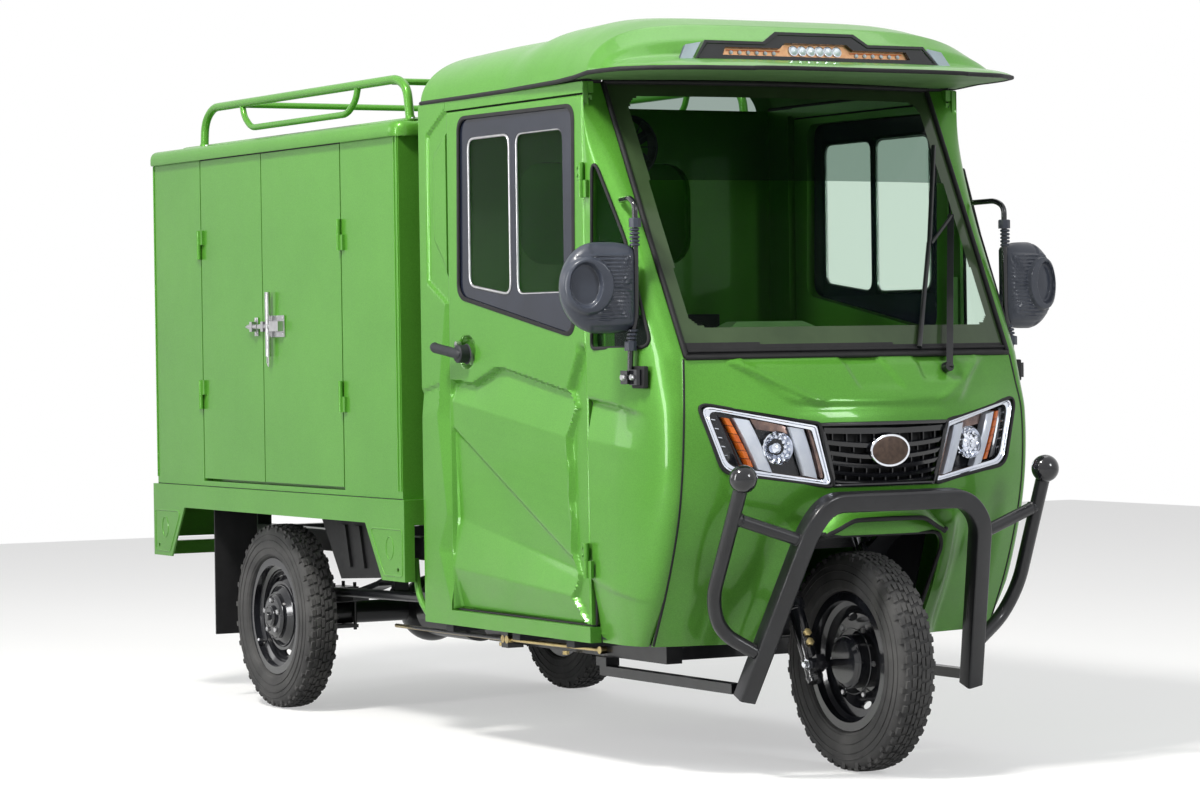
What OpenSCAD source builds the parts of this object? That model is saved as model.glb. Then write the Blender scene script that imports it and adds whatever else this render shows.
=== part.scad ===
// Enclosed electric cargo tricycle: a closed cab over one steered front wheel, and a van box on a
// driven rear axle. Lengths are worked out from the rear axle, +X forwards and +Y to the left, and
// place() then puts the origin on the floor under the middle of the whole vehicle.

/* [Wheels] */
// Distance from the rear axle to the front axle
wheelbase = 2260; // [2200:10:2320]
// Distance between the middles of the rear tyres
track = 930; // [910:5:950]
// Outer radius of a tyre
tyre_r = 262; // [256:1:266]
// Width of a tyre
tyre_w = 100; // [92:2:106]
// Radius of a rim's flange
rim_r = 165; // [160:1:170]
// Angle of the steering axis from the vertical
rake = 27; // [25:1:29]

/* [Cargo box] */
// Half the width of the box over its panels
box_hw = 560; // [545:5:580]
// Rear face of the box, behind the rear axle
box_rear = 705; // [680:5:730]
// Gap between the box and the cab
box_gap = 80; // [70:5:95]
// Height of the load floor
floor_z = 640; // [630:5:660]
// Height of the top of the side panels
box_top = 1577; // [1540:5:1600]
// Thickness of a wall or door of the box
wall_t = 25; // [18:1:30]
// Width of the fixed panel behind the side doors
side_rear_w = 353; // [330:1:380]
// Width of the fixed panel ahead of the side doors
side_front_w = 355; // [330:1:380]
// Share of the doorway that the rear side door closes
side_split = 0.4538; // [0.42:0.0001:0.5]
// Height of the base frame's beams
beam_h = 66; // [60:2:80]
// Height of the lid's rim
lid_h = 40; // [34:2:46]

/* [Cab] */
// Half the width of the cab over its doors
cab_hw = 540; // [530:5:550]
// Length of the cab behind the front axle
cab_len = 1225; // [1210:5:1235]
// Underside of the cab
cab_z0 = 310; // [300:5:320]
// Top of the cab's side walls, where the roof sits
cab_z1 = 1650; // [1635:5:1665]
// From the front axle back to the doorway's rear edge
door_rear = 1073; // [1060:1:1085]
// From the front axle back to the doorway's front edge
door_front = 346; // [340:1:360]
// Bottom of the doorway
door_z0 = 348; // [342:1:356]
// Top of the doorway
door_z1 = 1625; // [1610:1:1630]
// Thickness of a cab door and of the cab's side walls
door_t = 30; // [26:1:34]
// Gap all round a door
door_gap = 5; // [4:0.5:7]
// Thickness of the moulded front panel
fascia_t = 20; // [16:1:24]
// Thickness of the window glass
glass_t = 5; // [4:0.5:6]

/* [Bumper] */
// Side of the square tube of the front guard
guard_s = 44; // [38:1:48]
// Radius of the guard's round outer tubes
guard_tube_r = 17; // [14:1:19]
// Radius of the balls on the guard
ball_r = 33; // [28:1:36]

/* [Hidden] */

green = [0.24, 0.52, 0.17];
black = [0.07, 0.07, 0.08];
steel = [0.66, 0.67, 0.68];
rubber = [0.13, 0.12, 0.11];
glass = [0.55, 0.62, 0.60, 0.4];

fit = 0.3;
cab_rear = wheelbase - cab_len;
door_x0 = wheelbase - door_rear;
door_x1 = wheelbase - door_front;
box_front = cab_rear - box_gap;
side_door_x0 = side_rear_w - box_rear;
side_door_x1 = box_front - side_front_w;
side_seam_x = side_door_x0 + side_split * (side_door_x1 - side_door_x0);
hinge_r = 7;
hinge_len = 84;
hinge_out = 8;

// The vehicle reaches from the backs of the tail lamps to the front of the front tyre.
tail_lamp_t = 22;
front_reach = wheelbase + tyre_r;
rear_reach = box_rear + 10 + tail_lamp_t;
origin_x = (front_reach - rear_reach) / 2;
module place() translate([-origin_x, 0, 0]) children();
module mirror_copy() { children(); mirror([0, 1, 0]) children(); }

// Outlines in X and Z are extruded along Y from y0 to y1, outlines in Y and Z along X from x0 to x1.
module along_y(y0, y1) translate([0, y1, 0]) rotate([90, 0, 0]) linear_extrude(y1 - y0) children();
module along_x(x0, x1) translate([x0, 0, 0]) rotate([90, 0, 90]) linear_extrude(x1 - x0) children();
module box(x, y, z) translate([x[0], y[0], z[0]]) cube([x[1] - x[0], y[1] - y[0], z[1] - z[0]]);
module rod(a, b, r, fn = 24) {
    d = b - a;
    len = norm(d);
    translate(a) rotate([0, acos(d[2] / len), atan2(d[1], d[0])]) cylinder(h = len, r = r, $fn = fn);
}
module bar(a, b, w, h) {
    d = b - a;
    len = norm(d);
    translate(a) rotate([0, acos(d[2] / len), atan2(d[1], d[0])]) translate([-h / 2, -w / 2, 0])
        cube([h, w, len]);
}
function ellipse(a, b, n = 16) = [for (i = [0:n - 1]) [a * cos(360 * i / n), b * sin(360 * i / n)]];
// Corners [x, y, radius] of a convex outline, given counter-clockwise, each rounded by an arc of n steps.
function unit(v) = v / norm(v);
function round_corner(a, b, c, r, n) =
    let (u = unit(a - b), v = unit(c - b), half = acos(u * v) / 2, m = b + unit(u + v) * r / sin(half),
         p = b + u * r / tan(half), q = b + v * r / tan(half), s = atan2(p[1] - m[1], p[0] - m[0]),
         e0 = atan2(q[1] - m[1], q[0] - m[0]), e = e0 < s ? e0 + 360 : e0)
    [for (i = [0:n]) m + r * [cos(s + (e - s) * i / n), sin(s + (e - s) * i / n)]];
function rounded(pts, n = 4) = let (k = len(pts)) [for (i = [0:k - 1])
    let (a = pts[(i + k - 1) % k], b = pts[i], c = pts[(i + 1) % k])
    each (b[2] > 0 ? round_corner([a[0], a[1]], [b[0], b[1]], [c[0], c[1]], b[2], n) : [[b[0], b[1]]])];

// The same outline moved inwards by g.
function left_of(v) = [-v[1], v[0]];
function inset(pts, g) = let (k = len(pts)) [for (i = [0:k - 1])
    let (a = pts[(i + k - 1) % k], b = pts[i], c = pts[(i + 1) % k],
         m = left_of(unit([b[0] - a[0], b[1] - a[1]])), n = left_of(unit([c[0] - b[0], c[1] - b[1]])))
    [b[0] + g * (m[0] + n[0]) / (1 + m * n), b[1] + g * (m[1] + n[1]) / (1 + m * n), max(0, b[2] - g)]];

// A closed solid between two grids of points of the same size, outer and inner.
module grid_solid(outer, inner) {
    rows = len(outer);
    cols = len(outer[0]);
    n = rows * cols;
    function at(i, j) = i * cols + j;
    pts = [for (r = outer) each r, for (r = inner) each r];
    skin = [for (i = [0:rows - 2]) for (j = [0:cols - 2]) each
        [[at(i + 1, j + 1), at(i, j + 1), at(i, j)], [at(i + 1, j), at(i + 1, j + 1), at(i, j)],
         [n + at(i, j + 1), n + at(i + 1, j + 1), n + at(i, j)], [n + at(i + 1, j + 1), n + at(i + 1, j),
             n + at(i, j)]]];
    rim = [for (j = [0:cols - 2]) each
        [[n + at(0, j), at(0, j), at(0, j + 1)], [n + at(0, j + 1), n + at(0, j), at(0, j + 1)],
         [n + at(rows - 1, j + 1), at(rows - 1, j + 1), at(rows - 1, j)],
         [n + at(rows - 1, j), n + at(rows - 1, j + 1), at(rows - 1, j)]]];
    ends = [for (i = [0:rows - 2]) each
        [[n + at(i + 1, 0), at(i + 1, 0), at(i, 0)], [n + at(i, 0), n + at(i + 1, 0), at(i, 0)],
         [n + at(i, cols - 1), at(i, cols - 1), at(i + 1, cols - 1)],
         [n + at(i + 1, cols - 1), n + at(i, cols - 1), at(i + 1, cols - 1)]]];
    polyhedron(points = pts, faces = concat(skin, rim, ends), convexity = 6);
}

// The cab's plan section at height z. Columns: height, then ahead of the front axle where the flat side
// starts to turn in, the front corner and the nose, with the corner's place in from the side before the nose.
function cab_table() = [
    [310, -270, -150, 60, -70], [450, -250, -80, 58, 30], [600, -230, -25, 58, 100],
    [720, -220, -2, 58, 132], [850, -220, 2, 62, 132], [920, -225, -10, 70, 90],
    [990, -230, -24, 78, 40], [1320, -355, -200, 70, -140], [1650, -480, -375, 65, -320]];
function cab_col(z, c) = let (v = lookup(z, [for (r = cab_table()) [r[0], r[c]]]))
    c == 3 ? cab_hw - v : wheelbase + v;
belt_z = 990;
glass_top_z = cab_z1 + 2;
// A point of the front face at height z, a share s of the half width from the middle, and depth d inwards.
function front_point(z, s, d) =
    let (xc = cab_col(z, 2), wc = cab_col(z, 3), xn = cab_col(z, 4))
    [xc + (xn - xc) * (1 - s * s) - d, s * (wc - d * 0.15), z];
// A point of the turned corner at height z, for t from 0 at the flat side to 90 at the front corner.
function corner_point(z, t, d) =
    let (xs = max(cab_col(z, 1), door_x1 + 2), xc = cab_col(z, 2), wc = cab_col(z, 3))
    [xs + (xc - xs - d) * sin(t), -wc - (cab_hw - wc - d) * cos(t) + d * 0.15 * sin(t), z];
function steps(a, b, n) = [for (i = [0:n]) a + (b - a) * i / n];
lower_heights = [310, 380, 450, 525, 600, 660, 720, 790, 850, 920, belt_z - 2];
glass_heights = steps(belt_z - 2 + fit, glass_top_z, 5);
glass_edge = 0.9993;
module front_skin(heights, d, t, shares = steps(-1, 1, 14))
    grid_solid([for (z = heights) [for (s = shares) front_point(z, s, d)]],
               [for (z = heights) [for (s = shares) front_point(z, s, d + t)]]);

// Headlamp and grille outlines in Y and Z, for the left side, with g of clearance inside them.
lamp_in_top = [0.335 * cab_hw, 832];
lamp_in_bottom = [0.265 * cab_hw, 684];
lamp_out_top = [cab_hw - 90, 884];
lamp_out_bottom = [cab_hw - 142, 722];
module lamp_shape(g) polygon(rounded([
    [lamp_in_bottom[0] + g, lamp_in_bottom[1] + g, 8], [lamp_out_bottom[0] - g, lamp_out_bottom[1] + g, 40],
    [lamp_out_top[0] - 1.5 * g, lamp_out_top[1] - g, 14], [lamp_in_top[0] + g, lamp_in_top[1] - g, 8]]));
front_cut_x0 = wheelbase - 360;
front_cut_x1 = wheelbase + 340;
module through_front() along_x(front_cut_x0, front_cut_x1) children();
module lamp_prism(g) through_front() lamp_shape(g);
module grille_shape(g) polygon([
    [-lamp_in_bottom[0] + 6 + g, lamp_in_bottom[1] + g], [lamp_in_bottom[0] - 6 - g, lamp_in_bottom[1] + g],
    [lamp_in_top[0] - 6 - g, lamp_in_top[1] - g], [-lamp_in_top[0] + 6 + g, lamp_in_top[1] - g]]);

module grille_cut() polygon([for (p = [[-1, 0], [1, 0], [1, 1], [-1, 1]])
    p[1] == 0 ? [p[0] * (lamp_in_bottom[0] + 8), lamp_in_bottom[1] - 2] : [p[0] * (lamp_in_top[0] + 8),
        lamp_in_top[1] + 2]]);

// The front wheel's arch in the front panel, in Y and Z.
arch_top = 568;
arch_hw = 215;
module arch_shape() polygon(rounded([
    [-arch_hw - 2, 250, 0], [arch_hw + 2, 250, 0], [arch_hw - 30, arch_top, 40], [-arch_hw + 30, arch_top,
        40]]));

module front_fascia() color(green) {
    difference() {
        front_skin(lower_heights, 0, fascia_t);
        through_front() arch_shape();
        mirror_copy() lamp_prism(-2);
        through_front() grille_cut();
    }
    brow();
}
// The lip over the front wheel.
brow_hw = 172;
module brow() {
    x0 = wheelbase + 70;
    hull() {
        along_x(x0, x0 + 10) polygon([[-brow_hw - 20, arch_top + 2], [brow_hw + 20, arch_top + 2],
            [brow_hw - 30, arch_top + 76], [-brow_hw + 30, arch_top + 76]]);
        along_x(x0 + 70, x0 + 82) polygon(rounded([[-brow_hw, arch_top + 2, 0], [brow_hw, arch_top + 2, 0],
            [brow_hw - 50, arch_top + 48, 30], [-brow_hw + 50, arch_top + 48, 30]]));
    }
}

module headlamps() color(black) mirror_copy() difference() {
    intersection() { front_skin(lower_heights, 9, 62); lamp_prism(fit - 2); }
    intersection() { front_skin(lower_heights, 8, 50); lamp_prism(7); }
}
module lamp_lenses() color(glass) {
    mirror_copy() intersection() { front_skin(lower_heights, 1, 8 - fit); lamp_prism(fit - 2); }
    light_bar_lens();
}

slat_count = 5;
slat_pitch = 25;
module grille() color(black) {
    difference() {
        intersection() { front_skin(lower_heights, 2, 26); through_front() grille_shape(fit - 2); }
        through_front() grille_shape(9);
    }
    intersection() {
        front_skin(lower_heights, 8, 14);
        through_front() intersection() {
            grille_shape(2);
            union() {
                for (i = [0:slat_count - 1])
                    translate([-lamp_in_top[0], lamp_in_bottom[1] + 17 + slat_pitch * i])
                        square([2 * lamp_in_top[0], 9]);
                for (i = [-4:4]) translate([0.07 * cab_hw * i - 2.5, lamp_in_bottom[1]]) square([5, 150]);
            }
        }
    }
    // The plain oval boss in the middle.
    along_x(front_point(768, 0, 12)[0], front_point(768, 0, 12)[0] + 16) translate([0, 768])
        polygon(ellipse(37, 30, 24));
}

module windshield() color(glass) front_skin(glass_heights, 5 + fit, glass_t, steps(-glass_edge, glass_edge,
    10));
frame_side = 42;
frame_bottom = 72;
frame_top = 36;
module windshield_seal() color(black) difference() {
    front_skin(glass_heights, 0, 5, steps(-glass_edge, glass_edge, 10));
    along_x(wheelbase - 560, wheelbase + 240) polygon(rounded([
        [-cab_col(1060, 3) + frame_side, belt_z + frame_bottom, 24],
        [cab_col(1060, 3) - frame_side, belt_z + frame_bottom, 24],
        [cab_col(1600, 3) - frame_side, glass_top_z - frame_top, 24],
        [-cab_col(1600, 3) + frame_side, glass_top_z - frame_top, 24]]));
}

// The right quarter panel with its turned corner, from the doorway's front edge to the front corner.
side_heights = [310, 450, 600, 720, 850, 920, belt_z, 1100, 1210, 1320, 1430, 1540, cab_z1];
module quarter_panel() {
    turn = [0, 15, 30, 45, 60, 75, 90];
    function row(z, d) = concat([[door_x1, -cab_hw + d, z]], [for (t = turn) corner_point(z, t, d)]);
    grid_solid([for (z = side_heights) row(z, 0)], [for (z = side_heights) row(z, door_t)]);
}
quarter_window = [[door_x1 + 28, 1014, 14], [wheelbase - 84, 1016, 20], [wheelbase - 202, 1262, 0],
    [door_x1 + 32, 1468, 6]];
module quarter_shape(g) polygon(rounded(inset(quarter_window, g)));

module quarter_panels() color(green) mirror_copy() difference() {
    quarter_panel();
    along_y(-cab_hw - 60, -300) quarter_shape(0);
}
module cab_side() {
    // The rear pillar, the sill and the rail over the door.
    along_y(-cab_hw, -cab_hw + door_t) difference() {
        polygon([[cab_rear, cab_z0], [door_x1, cab_z0], [door_x1, cab_z1], [cab_rear, cab_z1]]);
        translate([door_x0, door_z0]) square([door_x1 - door_x0 + 1, door_z1 - door_z0]);
    }
    pillar_relief();
    // The post behind the quarter panel, which carries the door's hinges.
    post_z0 = cab_floor_z + floor_plate;
    along_y(-cab_hw + door_t, -cab_hw + door_t + 25) polygon([[door_x1, post_z0], [door_x1 + 40, post_z0],
        [door_x1 + 40, 1180], [door_x1 + 2, 1288], [door_x1, 1288]]);
    for (z = hinge_heights) hinge_fixed([door_x1, -cab_hw - hinge_out, z]);
}
hinge_heights = [508, 1416];
// A hinge's fixed half: the lower knuckle and its leaf, ahead of the hinge line.
module hinge_fixed(p) {
    translate([p[0], p[1], p[2] - hinge_len / 2]) cylinder(h = hinge_len / 2 - fit / 2, r = hinge_r,
        $fn = 20);
    box([p[0], p[0] + 22], [p[1], p[1] + hinge_out], [p[2] - hinge_len / 2, p[2] - fit / 2]);
}
// The raised panel on the rear pillar.
module pillar_relief() along_y(-cab_hw - 10, -cab_hw) polygon(rounded([
    [cab_rear + 40, 1130, 30], [door_x0 - 20, 1060, 0], [door_x0 - 20, 1600, 0], [cab_rear + 30, 1520, 60]]));

module cab_sides() color(green) mirror_copy() cab_side();

rear_window = [cab_hw - 280, 1235, 1505, 70];
module rear_window_shape(g) polygon(rounded([
    [-rear_window[0] + g, rear_window[1] + g, rear_window[3]], [rear_window[0] - g, rear_window[1] + g,
        rear_window[3]],
    [rear_window[0] - g, rear_window[2] - g, rear_window[3]], [-rear_window[0] + g, rear_window[2] - g,
        rear_window[3]]]));
module cab_rear_wall() color(green) difference() {
    box([cab_rear, cab_rear + door_t], [-cab_hw + door_t, cab_hw - door_t], [cab_floor_z + floor_plate,
        cab_z1]);
    along_x(cab_rear - 5, cab_rear + door_t + 5) rear_window_shape(0);
    for (i = [-3:3]) if (abs(i) > 0)
        box([cab_rear - 1, cab_rear + 8], [i * 0.23 * cab_hw - 20, i * 0.23 * cab_hw + 20], [420, 1120]);
}
module fixed_windows() color(glass) {
    along_x(cab_rear + 12, cab_rear + 12 + glass_t) rear_window_shape(fit);
    mirror_copy() intersection() {
        quarter_glass_skin();
        along_y(-cab_hw - 60, -300) quarter_shape(fit);
    }
}
module quarter_glass_skin() {
    turn = [0, 15, 30, 45, 60, 75];
    hs = [belt_z, 1100, 1210, 1320, 1430, 1540];
    function row(z, d) = concat([[door_x1, -cab_hw + d, z]], [for (t = turn) corner_point(z, t, d)]);
    grid_solid([for (z = hs) row(z, 8)], [for (z = hs) row(z, 8 + glass_t)]);
}

cab_floor_z = 318;
floor_plate = 12;
module cab_floor() color(black) {
    floor_tray();
    arch_liner();
}
module floor_tray() difference() {
    union() {
        translate([0, 0, cab_floor_z]) linear_extrude(floor_plate) floor_plan();
        for (x = [cab_rear + 60, cab_rear + 425, wheelbase - 520])
            box([x, x + 40], [-cab_hw + door_t, cab_hw - door_t], [cab_floor_z - 30, cab_floor_z]);
    }
    // The front wheel's well and the stays' pockets.
    box([wheelbase - well_back, wheelbase], [-well_hw, well_hw], [cab_floor_z - 40, cab_floor_z + 40]);
    mirror_copy() box([stay_x - 25, stay_x + 75], [rail_y - 46, rail_y + 6], [cab_floor_z - 1,
        cab_floor_z + 40]);
}
// The floor's outline, just inside the panels round it.
module floor_plan() {
    side = [for (t = [0:15:75]) corner_point(cab_floor_z, t, door_t + 7 * fit)];
    nose = [for (s = steps(-0.96, 0.96, 14)) front_point(cab_floor_z, s, fascia_t + 2 * fit)];
    polygon(concat([[cab_rear, -cab_hw + door_t]], [for (p = side) [p[0], p[1]]], [for (p = nose)
        [p[0], p[1]]],
        [for (i = [len(side) - 1:-1:0]) [side[i][0], -side[i][1]]], [[cab_rear, cab_hw - door_t]]));
}
well_hw = 232;
well_back = 330;
liner_t = 4;
module arch_liner() difference() {
    translate([wheelbase, 0, tyre_r]) rotate([90, 0, 0]) difference() {
        translate([0, 0, -well_hw]) cylinder(h = 2 * well_hw, r = well_back, $fn = 64);
        translate([0, 0, -well_hw + liner_t]) cylinder(h = 2 * (well_hw - liner_t), r = well_back - liner_t,
            $fn = 64);
    }
    box([wheelbase - 400, wheelbase + 400], [-300, 300], [-200, cab_floor_z]);
    along_y(-300, 300) polygon([[wheelbase - 142, 300], [wheelbase - 40, 600], [wheelbase + 400, 600],
        [wheelbase + 400, 300]]);
    steer_frame() cylinder(h = 700, r = 165, $fn = 48);
}

// The steering axis: local +Z runs up it and local +X is ahead of it.
axle_lead = 32;
module steer_frame() translate([wheelbase - axle_lead * cos(rake), 0, tyre_r - axle_lead * sin(rake)])
    rotate([0, -rake, 0]) children();
leg_y = 116;
clamp_s = 322;
neck_s0 = clamp_s + 34;
neck_s1 = neck_s0 + 210;
module front_fork() color(black) {
    steer_frame() {
        mirror_copy() {
            // Slider, spring boot and stanchion of one leg, with the axle's lug.
            translate([0, leg_y, -34]) cylinder(h = 190, r = 19, $fn = 24);
            translate([0, leg_y, 156]) cylinder(h = 16, r = 25, $fn = 24);
            translate([0, leg_y, 172]) cylinder(h = clamp_s - 172, r = 15, $fn = 24);
            box([-16, axle_lead + 16], [leg_y - 12, leg_y + 12], [-17, 17]);
        }
        box([-32, 34], [-leg_y - 28, leg_y + 28], [clamp_s, clamp_s + 28]);
        translate([0, 0, clamp_s + 28]) cylinder(h = neck_s1 - clamp_s + 2, r = 15, $fn = 24);
        translate([axle_lead, -leg_y - 38, 0]) rotate([-90, 0, 0]) cylinder(h = 2 * leg_y + 76, r = 8,
            $fn = 24);
        mirror_copy() translate([axle_lead, leg_y + 12, 0]) rotate([-90, 0, 0]) cylinder(h = 14, r = 14,
            $fn = 6);
    }
}
bar_s = 830;
bar_hw = 330;
module handlebar() color(black) steer_frame() {
    translate([0, 0, neck_s1 + 30 + fit]) cylinder(h = bar_s - neck_s1 - 30, r = 17, $fn = 24);
    rod([0, -170, bar_s], [0, 170, bar_s], 11);
    mirror_copy() {
        rod([0, 168, bar_s], [-60, bar_hw - 110, bar_s + 40], 11);
        rod([-60, bar_hw - 112, bar_s + 40], [-110, bar_hw, bar_s + 30], 17);
        rod([-40, 195, bar_s + 40], [20, bar_hw - 20, bar_s + 40], 5);
    }
    // The instrument cowl on its bracket.
    box([-8, 30], [-24, 24], [bar_s + 4, bar_s + 34]);
    translate([10, 0, bar_s + 36]) hull() {
        translate([20, 0, 0]) rotate([0, rake, 0]) cube([90, 300, 30], center = true);
        translate([24, 0, 34]) rotate([0, rake, 0]) cube([50, 190, 20], center = true);
    }
}

// Wheels. Half sections of tyre and rim as [radius, side], turned about the wheel's own axis.
flange_y = 0.34 * tyre_w - 0.5;
function tyre_half() = [[rim_r - 16 + fit, 0], [rim_r - 16 + fit, flange_y - fit],
    [rim_r + fit, flange_y - fit], [rim_r + 6, 0.43 * tyre_w],
    [rim_r + 26, 0.49 * tyre_w], [rim_r + 46, 0.5 * tyre_w], [tyre_r - 30, 0.475 * tyre_w],
        [tyre_r - 14, 0.42 * tyre_w],
    [tyre_r - 4, 0.3 * tyre_w], [tyre_r, 0.14 * tyre_w]];
module tyre() color(rubber) rotate([-90, 0, 0]) rotate_extrude($fn = 96) polygon(concat(
    [for (p = tyre_half()) p], [for (i = [len(tyre_half()) - 1:-1:1]) [tyre_half()[i][0],
        -tyre_half()[i][1]]]));
// The rim's outline from the inboard flange, under the tyre, to the disc and hub. Columns: radius, side.
module rim(hub_r, hub_y0, hub_y1, bore_r) color(black) rotate([-90, 0, 0]) difference() {
    rotate_extrude($fn = 72) union() {
        polygon([[rim_r - 20, -flange_y - 4], [rim_r, -flange_y - 4], [rim_r, -flange_y],
            [rim_r - 16, -flange_y],
            [rim_r - 16, -14], [rim_r - 28, -8], [rim_r - 28, 8], [rim_r - 16, 14], [rim_r - 16, flange_y],
            [rim_r, flange_y], [rim_r, flange_y + 4], [rim_r - 20, flange_y + 4], [rim_r - 20, 18],
                [rim_r - 32, 12],
            [rim_r - 32, -12], [rim_r - 20, -18]]);
        // The pressed disc.
        polygon([[rim_r - 30, -4], [rim_r - 30, 2], [rim_r - 50, 4], [hub_r + 14, 16], [hub_r - 4, 16],
            [hub_r - 4, 10],
            [hub_r + 12, 10], [rim_r - 52, -2]]);
        polygon([[bore_r, hub_y0], [hub_r * 0.8, hub_y0], [hub_r, hub_y0 + 10], [hub_r, hub_y1 - 14],
            [hub_r * 0.82, hub_y1], [bore_r, hub_y1]]);
    }
    for (i = [0:5]) rotate([0, 0, 60 * i + 15]) translate([rim_r - 58, 0, -20]) linear_extrude(60)
        polygon(ellipse(9, 22, 20));
}
axle_r = 14;
module front_rim() at_front() rim(64, -48, 62, axle_clear);
axle_clear = 8 + 0.06;
module at_front() translate([wheelbase, 0, tyre_r]) children();
module at_rear(s) translate([0, s * track / 2, tyre_r]) children();
module rear_rim() {
    rim(84, -20, 30, axle_r + 0.06);
    // The closed hub cap.
    color(black) rotate([-90, 0, 0]) rotate_extrude($fn = 48) polygon([[0, 22], [axle_r + 1, 22],
        [axle_r + 1, 29],
        [62, 29], [62, 38], [54, 44], [30, 46], [30, 52], [24, 56], [0, 56]]);
}
module rear_rim_left() at_rear(1) rear_rim();
module rear_rim_right() mirror([0, 1, 0]) at_rear(1) rear_rim();

// Rear axle, from backplate to backplate, with the differential and the motor ahead of it.
axle_end = track / 2 + 20;
module rear_axle() color(black) {
    translate([0, -axle_end, tyre_r]) rotate([-90, 0, 0]) cylinder(h = 2 * axle_end, r = axle_r, $fn = 24);
    translate([0, -track / 2 + 70, tyre_r]) rotate([-90, 0, 0]) cylinder(h = track - 140, r = 32, $fn = 32);
    mirror_copy() translate([0, track / 2 - 70, tyre_r]) rotate([-90, 0, 0]) cylinder(h = 46, r = 92,
        $fn = 48);
    translate([0, 0, tyre_r]) sphere(r = 96, $fn = 32);
    translate([60, 0, tyre_r + 6]) rotate([0, 90, 0]) cylinder(h = 250, r = 84, $fn = 40);
    translate([310, 0, tyre_r + 6]) rotate([0, 90, 0]) cylinder(h = 16, r = 70, $fn = 40);
}

spring_y = track / 2 - 165;
drop_x = cab_rear - 275;
spring_reach = 0.526 * drop_x;
spring_w = 50;
rail_z0 = 440;
rail_h = 60;
// Leaf springs under the rear rails: leaves of falling length, an axle clamp, an eye and a shackle.
module leaf_springs() color(black) mirror_copy() translate([0, spring_y, 0]) {
    sag = 70;
    base_z = tyre_r + 42;
    for (i = [0:3]) {
        reach = spring_reach * (1 - 0.21 * i);
        along_y(-spring_w / 2, spring_w / 2) polygon(concat(
            [for (k = [-4:4]) [reach * k / 4, base_z + 24.5 - 8 * i + sag * pow(reach * k / 1600, 2)]],
            [for (k = [4:-1:-4]) [reach * k / 4, base_z + 16 - 8 * i + sag * pow(reach * k / 1600, 2)]]));
    }
    box([-50, 50], [-spring_w / 2 - 15, spring_w / 2 + 15], [tyre_r + 32 + fit, base_z - 4]);
    box([-50, 50], [-spring_w / 2 - 15, spring_w / 2 + 15], [base_z + 20, base_z + 34]);
    mirror_copy() for (x = [-38, 38]) translate([x, spring_w / 2 + 8, tyre_r - 48]) cylinder(h = 136, r = 5,
        $fn = 16);
    box([-46, 46], [-spring_w / 2 - 15, spring_w / 2 + 15], [tyre_r - 42, tyre_r - 32 - fit]);
    for (x = [-spring_reach, spring_reach]) {
        translate([x, -spring_w / 2, base_z + 34]) rotate([-90, 0, 0]) cylinder(h = spring_w, r = 16,
            $fn = 24);
        box([x - 12, x + 12], [-spring_w / 2 + 4, spring_w / 2 - 4], [base_z + 36, rail_z0 - fit]);
    }
}

rail_y = spring_y;
guard_leg_foot = [wheelbase - 2, rail_y + 22, 190];
guard_arm_x1 = guard_leg_foot[0] - guard_s / 2 - 6 - fit;
rail_hw = 22;
low_rail_z = 246;
stay_x = wheelbase - 420;
// Ladder frame: rear rails, the drop to the low rails under the cab, cross tubes, the neck and brackets.
module chassis_frame() color(black) {
    mirror_copy() {
        along_y(rail_y - rail_hw, rail_y + rail_hw) polygon([[45 - box_rear, rail_z0], [drop_x, rail_z0],
            [cab_rear - 60, low_rail_z], [stay_x + 60, low_rail_z], [stay_x + 60, low_rail_z + 42],
            [cab_rear - 40, low_rail_z + 42], [drop_x + 20, rail_z0 + rail_h], [45 - box_rear,
                rail_z0 + rail_h]]);
        // The guard's arm, bolted under the rail.
        box([stay_x - 240, guard_arm_x1], [rail_y + 10, rail_y + 40], [200, 224]);
        box([stay_x - 250, stay_x - 200], [rail_y + 6, rail_y + 44], [224, low_rail_z]);
        // The neck's stays, beside the wheel's well.
        bar([stay_x + 40, rail_y - 20, low_rail_z + 36], [stay_x, rail_y - 20, 640], 36, 36);
        bar([stay_x, rail_y - 20, 622], neck_point(0.7), 32, 32);
    }
    for (x = [85 - box_rear, -250, 300, cab_rear - 335]) box([x, x + 40], [-rail_y + rail_hw,
        rail_y - rail_hw], [rail_z0 + 10, rail_z0 + 50]);
    for (x = [cab_rear + 215, stay_x - 60])
        box([x, x + 40], [-rail_y + rail_hw, rail_y - rail_hw], [low_rail_z, low_rail_z + 40]);
    box([stay_x - 20, stay_x + 18], [-rail_y + 20, rail_y - 20], [600, 640]);
    difference() {
        steer_frame() translate([0, 0, neck_s0]) cylinder(h = neck_s1 - neck_s0, r = 30, $fn = 32);
        steer_frame() translate([0, 0, neck_s0 - 1]) cylinder(h = neck_s1 - neck_s0 + 2, r = 15.05, $fn = 32);
    }
    // Risers between the rails and the box, with the rounded tray under the cab's rear.
    mirror_copy() for (x = [145 - box_rear, 200, box_front - 265]) box([x, x + 50], [rail_y - rail_hw,
        rail_y + rail_hw], [rail_z0 + rail_h, base_z0]);
    // Brake rods and levers.
    lever_x = cab_rear + 95;
    rod([190, 90 - rail_y, 232], [lever_x + 10, -rail_y - 60, 262], 5, 16);
    rod([lever_x + 30, -rail_y - 60, 262], [stay_x - 240, -rail_y - 30, 262], 5, 16);
    box([lever_x, lever_x + 36], [-rail_y - 68, -rail_y - rail_hw], [240, low_rail_z + 40]);
    damper_x = box_front - 275;
    rod([70, -rail_y - 60, 330], [damper_x + 10, -rail_y - 60, 344], 13, 20);
    box([damper_x, damper_x + 36], [-rail_y - 78, -rail_y + rail_hw], [330, 360]);
    box([damper_x, damper_x + 36], [-rail_y - rail_hw, -rail_y + rail_hw], [360, rail_z0]);
}
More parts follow.
